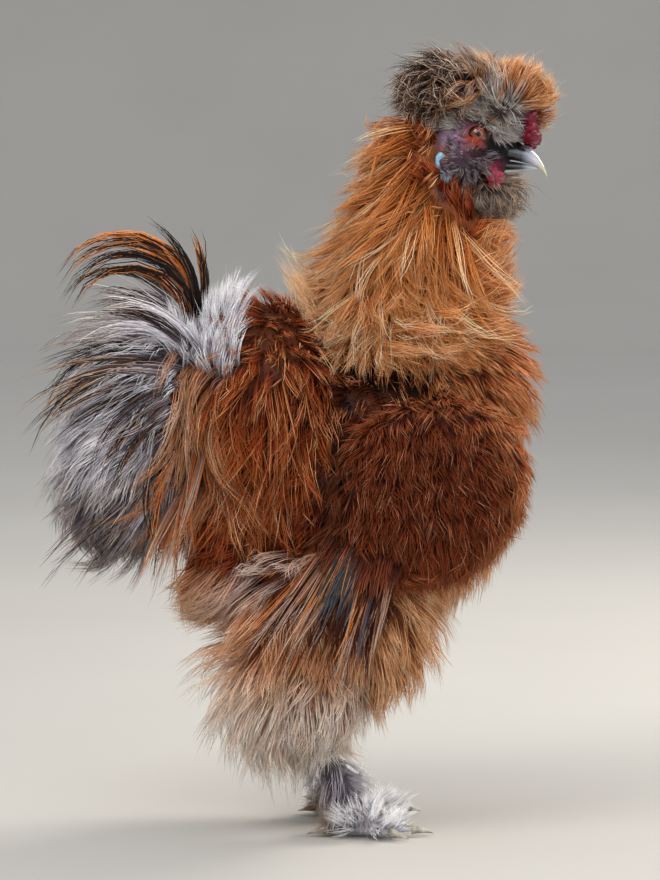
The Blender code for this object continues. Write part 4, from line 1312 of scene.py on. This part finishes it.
# The head's bare parts.
BILL = {
    # Stations of each half: x, top, bottom and half its width.
    "upper": [(74, 295.4, 289.2, 5.2), (79, 295.8, 288.7, 4.9), (83, 295.4, 287.9, 4.3),
              (86.5, 293.8, 286.9, 3.6), (89.5, 290.8, 285.5, 2.6), (91.8, 287.0, 283.6, 1.6),
              (93.1, 283.8, 282.0, 0.8), (93.5, 281.4, 281.2, 0.15)],
    "lower": [(73, 288.9, 284.4, 4.6), (79, 288.2, 284.5, 4.2), (83, 287.5, 284.7, 3.4),
              (86.5, 286.5, 284.9, 2.4), (89.2, 285.5, 285.0, 0.9)],
}
BILL_RINGS = 28


def bill_half(half):
    """Half of the bill, shaped ring by ring from a cylinder."""
    deselect()
    bpy.ops.mesh.primitive_cylinder_add(vertices=64, radius=1.0, depth=1.0, end_fill_type="NGON")
    made = bpy.context.active_object
    bpy.ops.object.mode_set(mode="EDIT")
    bpy.ops.mesh.select_mode(type="EDGE")
    bpy.ops.mesh.select_all(action="DESELECT")
    bpy.ops.object.mode_set(mode="OBJECT")
    for edge in made.data.edges:
        a, b = (made.data.vertices[i].co for i in edge.vertices)
        edge.select = abs(a.z - b.z) > 0.5
    bpy.ops.object.mode_set(mode="EDIT")
    bpy.ops.mesh.subdivide(number_cuts=BILL_RINGS)
    bpy.ops.mesh.select_mode(type="VERT")
    bpy.ops.object.mode_set(mode="OBJECT")
    stations = np.array(BILL[half])
    marks = np.linspace(0, 1, len(stations))
    for vert in made.data.vertices:
        t = 1 - (1 - (vert.co.z + 0.5)) ** 1.2
        x, top, bottom, across = (np.interp(t, marks, column) for column in stations.T)
        around = math.atan2(vert.co.y, vert.co.x)
        ridge = math.copysign(abs(math.sin(around)) ** 0.85, math.sin(around))
        level, half_depth = (top + bottom) / 2, (top - bottom) / 2
        place = Vector((x, math.cos(around) * across, level + ridge * half_depth))
        vert.co = place * MM + SHIFT
    made.name = made.data.name = f"bill_{half}"
    made.data.shade_smooth()
    return made


def horn_finish():
    made, tree, shader = new_material("bill_horn", 0.22, Specular_IOR_Level=0.6, Coat_Weight=0.5,
                                      Coat_Roughness=0.12)
    place = add_node(tree, "ShaderNodeTexCoord")
    split = add_node(tree, "ShaderNodeSeparateXYZ")
    scale = add_node(tree, "ShaderNodeMapRange")
    start = SHIFT.x + BILL["upper"][0][0] * MM
    scale.inputs["From Min"].default_value = start
    scale.inputs["From Max"].default_value = start + 19.5 * MM
    tree.links.new(place.outputs["Object"], split.inputs["Vector"])
    tree.links.new(split.outputs["X"], scale.inputs["Value"])
    # Dark at the root, slate to pale silver along the middle and yellowish at the tip; the pale silver is
    # partly the horn's tone and partly a painted highlight.
    stops = [(0.25, "1C1E24"), (0.42, "3E424E"), (0.56, "9A9EAE"), (0.72, "CCCEDA"), (0.9, "D2CEB8"),
             (1.0, "EAE2A8")]
    tone = ramp(tree, scale.outputs["Result"], stops)
    tree.links.new(tone.outputs["Color"], shader.inputs["Base Color"])
    grain = noise(tree, 700.0, 5.0)
    bump(tree, shader, grain.outputs["Fac"], 0.15, 0.0002)
    return made


# The nostrils are near-black lumps of painted shade for the openings.
def nostrils(finish):
    lumps = [lump((82.3, sign * 4.1, 293.4), (1.7, 0.7, 0.7), -20, 20, 12) for sign in SIDES.values()]
    made = join(lumps, "nostrils")
    made.data.shade_smooth()
    finish_piece(made, finish, "horn")


EYE_PARTS = [
    # Name, how far it lies ahead and out, its radii, and the cuts round and along it.
    ("eyeball", 0.0, 0.0, (4.85, 4.85, 4.85), 48, 32),
    ("iris", 0.2, 2.75, (3.5, 2.35, 3.5), 40, 24),
    ("pupil", 0.3, 3.2, (2.1, 2.05, 2.1), 32, 20),
]


def eyes(*finishes):
    """A ball in each socket, with its iris and its pupil rising from it."""
    x, y, z = EYE_PLACE
    for side, sign in SIDES.items():
        for (name, ahead, out, radii, *cuts), finish in zip(EYE_PARTS, finishes):
            made = join([lump((x + ahead, sign * (out - y), z), radii, 0, *cuts)], f"{name}_{side}")
            made.data.shade_smooth()
            nodes = [f"eye_{side}"] if name == "eyeball" else []
            finish_piece(made, finish, "eye", *nodes)


def comb(finish):
    """A walnut comb: rounded folds in uneven rows over the brow of the bill."""
    draw = random.Random(11)
    lumps = []
    for row in range(3):
        for column in (-0.5, 0.5) if row else (-1, 0, 1):
            centre = np.array((86.8 - 0.6 * row, 7.6 * column, 298.4 + 4.2 * row))
            centre += [draw.uniform(-0.7, 0.7) for _ in range(3)]
            size = draw.uniform(3.1, 3.8)
            lumps.append(lump(centre, (size, size * 1.1, size * 0.9), 0, 20, 12))
            for _ in range(16):
                way = unit(np.array([draw.gauss(0, 1) for _ in range(3)]))
                bead = draw.uniform(0.9, 1.4)
                lumps.append(lump(centre + way * size * 0.95, (bead,) * 3, 0, 12, 8))
    made = fuse(lumps, "comb_folds", 0.4, 0.5, 1)
    finish_piece(made, finish, "comb_skin", "comb")


def wattles(finish):
    for side, sign in SIDES.items():
        draw = random.Random(15)
        lumps = []
        for k, (x, z, size) in enumerate(((69.5, 283.0, 3.2), (72.3, 281.3, 2.8), (70.2, 279.0, 2.5))):
            centre = np.array((x, sign * (9.8 - 0.5 * k), z))
            lumps.append(lump(centre, (size, 1.9, size * 1.15), 0, 20, 12))
            for _ in range(8):
                angle = draw.uniform(0, 2 * math.pi)
                ahead, over = math.cos(angle) * size * 0.7, math.sin(angle) * size * 0.8
                spot = centre + np.array((ahead, sign * 1.2, over))
                lumps.append(lump(spot, (1.0, 0.8, 1.1), 0, 12, 8))
        made = fuse(lumps, f"wattle_folds_{side}", 0.4, 0.5, 2)
        finish_piece(made, finish, "comb_skin", f"wattle_{side}")


EARLOBE = [
    # Each form on the left side: centre, radii, and the cuts round and along it.
    ((48.5, 12.6, 288.5), (3.6, 2.4, 4.6), 24, 14), ((49.8, 12.2, 283.0), (2.8, 2.2, 4.0), 24, 14),
    ((47.6, 14.0, 290.5), (1.6, 1.1, 1.8), 16, 10), ((49.6, 13.8, 286.0), (1.8, 1.1, 1.5), 16, 10),
]


def earlobes(finish):
    for side, sign in SIDES.items():
        lumps = [lump((x, sign * y, z), radii, 0, *cuts) for (x, y, z), radii, *cuts in EARLOBE]
        made = fuse(lumps, f"earlobe_skin_{side}", 0.45, 0.5, 2)
        finish_piece(made, finish, "earlobe_skin", f"earlobe_{side}")


FLESH_FINISHES = {
    # Roughness, colours, scale of the mottling, depth of the grain, and what else sets it apart.
    # Painted shade: near-black for the nostril openings.
    "nostril_painted_shade": (0.5, [(0.3, "060506"), (0.7, "100C10")], 900.0, 0.0001, {}),
    "eye_white": (0.1, [(0.3, "140A08"), (0.7, "24120C")], 500.0, 0.00002, dict(Coat_Weight=1.0)),
    "iris_amber": (0.12, [(0.35, "3E1406"), (0.65, "963C12")], 1500.0, 0.00002, dict(Coat_Weight=1.0)),
    "pupil_black": (0.12, [(0.3, "020202"), (0.7, "040303")], 500.0, 0.00001,
                    dict(Coat_Weight=0.35, Specular_IOR_Level=0.2)),
    "comb_flesh": (0.4, [(0.3, "3E0614"), (0.55, "7C122C"), (0.8, "A82A42")], 500.0, 0.0009,
                   dict(Coat_Weight=0.12, Specular_IOR_Level=0.3)),
    "wattle_flesh": (0.38, [(0.3, "7E0E2E"), (0.7, "B8224A")], 500.0, 0.0006, dict(Coat_Weight=0.3)),
    "earlobe_flesh": (0.4, [(0.3, "3E8CC0"), (0.55, "8ED0EE"), (0.8, "DCF2FA")], 380.0, 0.0005,
                      dict(Coat_Weight=0.3)),
    "claw_horn": (0.3, [(0.3, "6A665E"), (0.7, "C8C0B0")], 400.0, 0.0001, {}),
}


def mottled(name):
    """A finish with uneven colour and a fine raised grain."""
    roughness, stops, scale, depth, inputs = FLESH_FINISHES[name]
    made, tree, shader = new_material(name, roughness, **inputs)
    tone = ramp(tree, noise(tree, scale, 5.0).outputs["Fac"], stops)
    tree.links.new(tone.outputs["Color"], shader.inputs["Base Color"])
    bump(tree, shader, noise(tree, scale * 3, 4.0).outputs["Fac"], 0.5, depth)
    return made


def claws(finish):
    for side, sign in SIDES.items():
        for name in TOES:
            _, end, way = toe_line(sign, name)
            deselect()
            bpy.ops.mesh.primitive_cone_add(vertices=20, radius1=1.0, radius2=0.02, depth=1.0,
                                            end_fill_type="NGON")
            made = bpy.context.active_object
            bpy.ops.object.mode_set(mode="EDIT")
            bpy.ops.mesh.select_all(action="SELECT")
            bpy.ops.mesh.subdivide(number_cuts=6)
            bpy.ops.object.mode_set(mode="OBJECT")
            side_way = np.array((-way[1], way[0], 0.0))
            start = end - way * 3.0 + np.array((0, 0, 0.4))
            for vert in made.data.vertices:
                t = vert.co.z + 0.5
                place = start + way * 9.8 * t - np.array((0, 0, 1.7 * t ** 2))
                place = place + side_way * vert.co.x * 2.0 + np.array((0, 0, vert.co.y * 2.2))
                place[2] = max(place[2], 0.1)
                vert.co = Vector(place) * MM + SHIFT
            made.name = made.data.name = f"claw_horn_{name}_{side}"
            made.data.shade_smooth()
            finish_piece(made, finish, "claw_horn", f"claw_{name}_{side}")


def paint_skin(skin):
    """Bare skin on the face and toes, and under the plumage a dark tone of its own colour, with painted shade
    behind the wing and under the cape.
    """
    mesh = skin.data
    places = np.empty(len(mesh.vertices) * 3)
    mesh.vertices.foreach_get("co", places)
    bird = to_bird(places.reshape(-1, 3))
    x, y, z = bird.T
    tone = np.tile(linear("5A2C16"), (len(bird), 1))

    def blend(code, weight):
        tone[:] = tone * (1 - weight[:, None]) + linear(code) * weight[:, None]

    blend("7A4424", ease(z, 230, 255))
    blend("4A1A0C", ease(np.abs(y), 34, 42) * ease(x, -8, 4) * ease(z, 100, 115))
    # Painted shade: near-black skin where shade falls behind the wing and under the cape.
    blend("1C0A06", np.clip(painted_shade_depth(bird), 0, 1))
    blend("9A5A36", ease(z, 110, 80))
    blend("C4AC98", ease(z, 70, 50))
    blend("A8A2AE", ease(x, -52, -64) * ease(z, 110, 130))
    blend("C8C4CE", ease(x, -36, -44) * ease(x, -72, -62) * ease(z, 195, 205) * ease(z, 260, 240))
    blend("4A4450", ease(z, 46, 38))
    blend("C4C0CA", toe_puff(bird) * ease(z, 14, 10))
    blend("1E1410", ease(x, 66, 60) * ease(z, 306, 312))
    blend("5A4A42", ease(x, 66, 70) * ease(z, 300, 306))
    face = ease(x, 44, 48) * ease(z, 268, 276) * ease(z, 310, 306)
    blend("3A2A34", face)

    def spot(code, at_x, at_z, size):
        blend(code, np.exp(-((x - at_x) ** 2 + (z - at_z) ** 2) / size ** 2) * face)

    spot("A886A8", 53, 299, 6.5)
    spot("8A4A20", 49, 292, 3.0)
    spot("A83C16", 61, 298.5, 4.6)
    blend("0E0A0E", ease(x, 65, 69) * ease(z, 287, 290) * ease(z, 300, 297))
    spot("98163A", 69.5, 284.5, 3.8)
    rgba = np.ones((len(bird), 4), np.float32)
    rgba[:, :3] = tone
    mesh.color_attributes.new("tint", "FLOAT_COLOR", "POINT").data.foreach_set("color", rgba.ravel())


# The stage.
def make_floor():
    """A pale bowl: a floor that curves up far away on every side."""
    deselect()
    bpy.ops.mesh.primitive_grid_add(x_subdivisions=140, y_subdivisions=140, size=14.0, location=(0, 0, 0))
    floor = bpy.context.active_object
    floor.name = "floor"
    bend, radius = 3.6, 1.8
    for vert in floor.data.vertices:
        away_from_middle = max(math.hypot(vert.co.x, vert.co.y), 1e-6)
        gone = max(away_from_middle - bend, 0.0)
        turn = min(gone / radius, math.pi / 2)
        rise = max(gone - radius * math.pi / 2, 0.0)
        reach = (min(away_from_middle, bend) + radius * math.sin(turn)) / away_from_middle
        vert.co.x *= reach
        vert.co.y *= reach
        vert.co.z = radius * (1 - math.cos(turn)) + rise - 0.0005
    floor.data.shade_smooth()
    made, tree, shader = new_material("pale_floor", 0.85)
    tone = ramp(tree, noise(tree, 3.0).outputs["Fac"], [(0.3, "B8B5B0"), (0.7, "BCBAB5")])
    tree.links.new(tone.outputs["Color"], shader.inputs["Base Color"])
    floor.data.materials.append(made)


def area_light(name, place, target, size, power, tone):
    data = bpy.data.lights.new(name, "AREA")
    data.size = size
    data.energy = power
    data.color = tone
    made = bpy.data.objects.new(name, data)
    bpy.context.scene.collection.objects.link(made)
    made.location = place
    made.rotation_euler = (Vector(target) - Vector(place)).to_track_quat("-Z", "Y").to_euler()


def light_stage():
    world = bpy.data.worlds.new("studio")
    world.use_nodes = True
    world.node_tree.nodes["Background"].inputs["Color"].default_value = (0.90, 0.92, 0.96, 1)
    world.node_tree.nodes["Background"].inputs["Strength"].default_value = 0.9
    bpy.context.scene.world = world
    bpy.context.scene.view_settings.view_transform = "Standard"
    middle = (SHIFT.x, 0, 0.2)
    area_light("key", (-0.75, -1.0, 1.35), middle, 0.9, 18, (1.0, 0.96, 0.9))
    area_light("rim", (0.9, 0.7, 0.9), middle, 0.6, 15, (1.0, 0.93, 0.84))
    area_light("fill", (0.9, -1.4, 0.5), middle, 1.2, 9, (0.9, 0.95, 1.0))


def make_camera():
    """The photograph's view: square to the bird's right side, a little above its middle."""
    distance, rise = 1.8, math.radians(4.5)
    target = Vector((SHIFT.x, SHIFT.y, 0.168))
    data = bpy.data.cameras.new("camera")
    data.lens = 170.2
    data.sensor_width = 36.0
    made = bpy.data.objects.new("camera", data)
    bpy.context.scene.collection.objects.link(made)
    made.location = target + Vector((0, -math.cos(rise), math.sin(rise))) * distance
    made.rotation_euler = (target - made.location).to_track_quat("-Z", "Y").to_euler()
    bpy.context.scene.camera = made


def grow_plumage(field):
    """The coats, and then the long feathers over them."""
    silky = plumage_finish("silky_feather", 0.5, 0.0)
    plush = plumage_finish("plush_feather", 0.65, 0.0)
    fluffy = plumage_finish("fluffy_down", 0.65, 0.08)
    coats = {
        **neck_coats(silky, plush, fluffy), **wing_coats(plush), **rear_coats(silky, fluffy),
        **leg_coats(fluffy), **head_coats(silky, fluffy),
    }
    for name, coat in coats.items():
        grow_coat(name, field, coat)
    flights(silky)
    sickles(silky)
    plumes(silky)


def main():
    make_floor()
    light_stage()
    make_camera()
    skin = make_skin()
    field = skin_field(skin)
    paint_skin(skin)
    flesh = ["head", "torso", "neck", "saddle", "tail"]
    for side in SIDES:
        flesh += [f"wing_{side}", f"thigh_{side}", f"shank_{side}", f"foot_{side}"]
    finish_piece(skin, skin_finish(), "face_skin", *flesh)
    grow_plumage(field)
    horn = horn_finish()
    for half in BILL:
        finish_piece(bill_half(half), horn, "horn", f"beak_{half}")
    nostrils(mottled("nostril_painted_shade"))
    eyes(mottled("eye_white"), mottled("iris_amber"), mottled("pupil_black"))
    comb(mottled("comb_flesh"))
    wattles(mottled("wattle_flesh"))
    earlobes(mottled("earlobe_flesh"))
    claws(mottled("claw_horn"))


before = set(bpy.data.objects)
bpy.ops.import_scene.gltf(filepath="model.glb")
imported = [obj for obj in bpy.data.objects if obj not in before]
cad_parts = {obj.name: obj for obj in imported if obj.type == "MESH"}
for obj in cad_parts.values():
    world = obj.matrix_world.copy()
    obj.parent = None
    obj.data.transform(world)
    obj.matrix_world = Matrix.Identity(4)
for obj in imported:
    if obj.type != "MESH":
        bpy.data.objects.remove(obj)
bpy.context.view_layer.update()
low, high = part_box("eye_right")
SHIFT = (low + high) / 2 - Vector(EYE_PLACE) * MM
main()
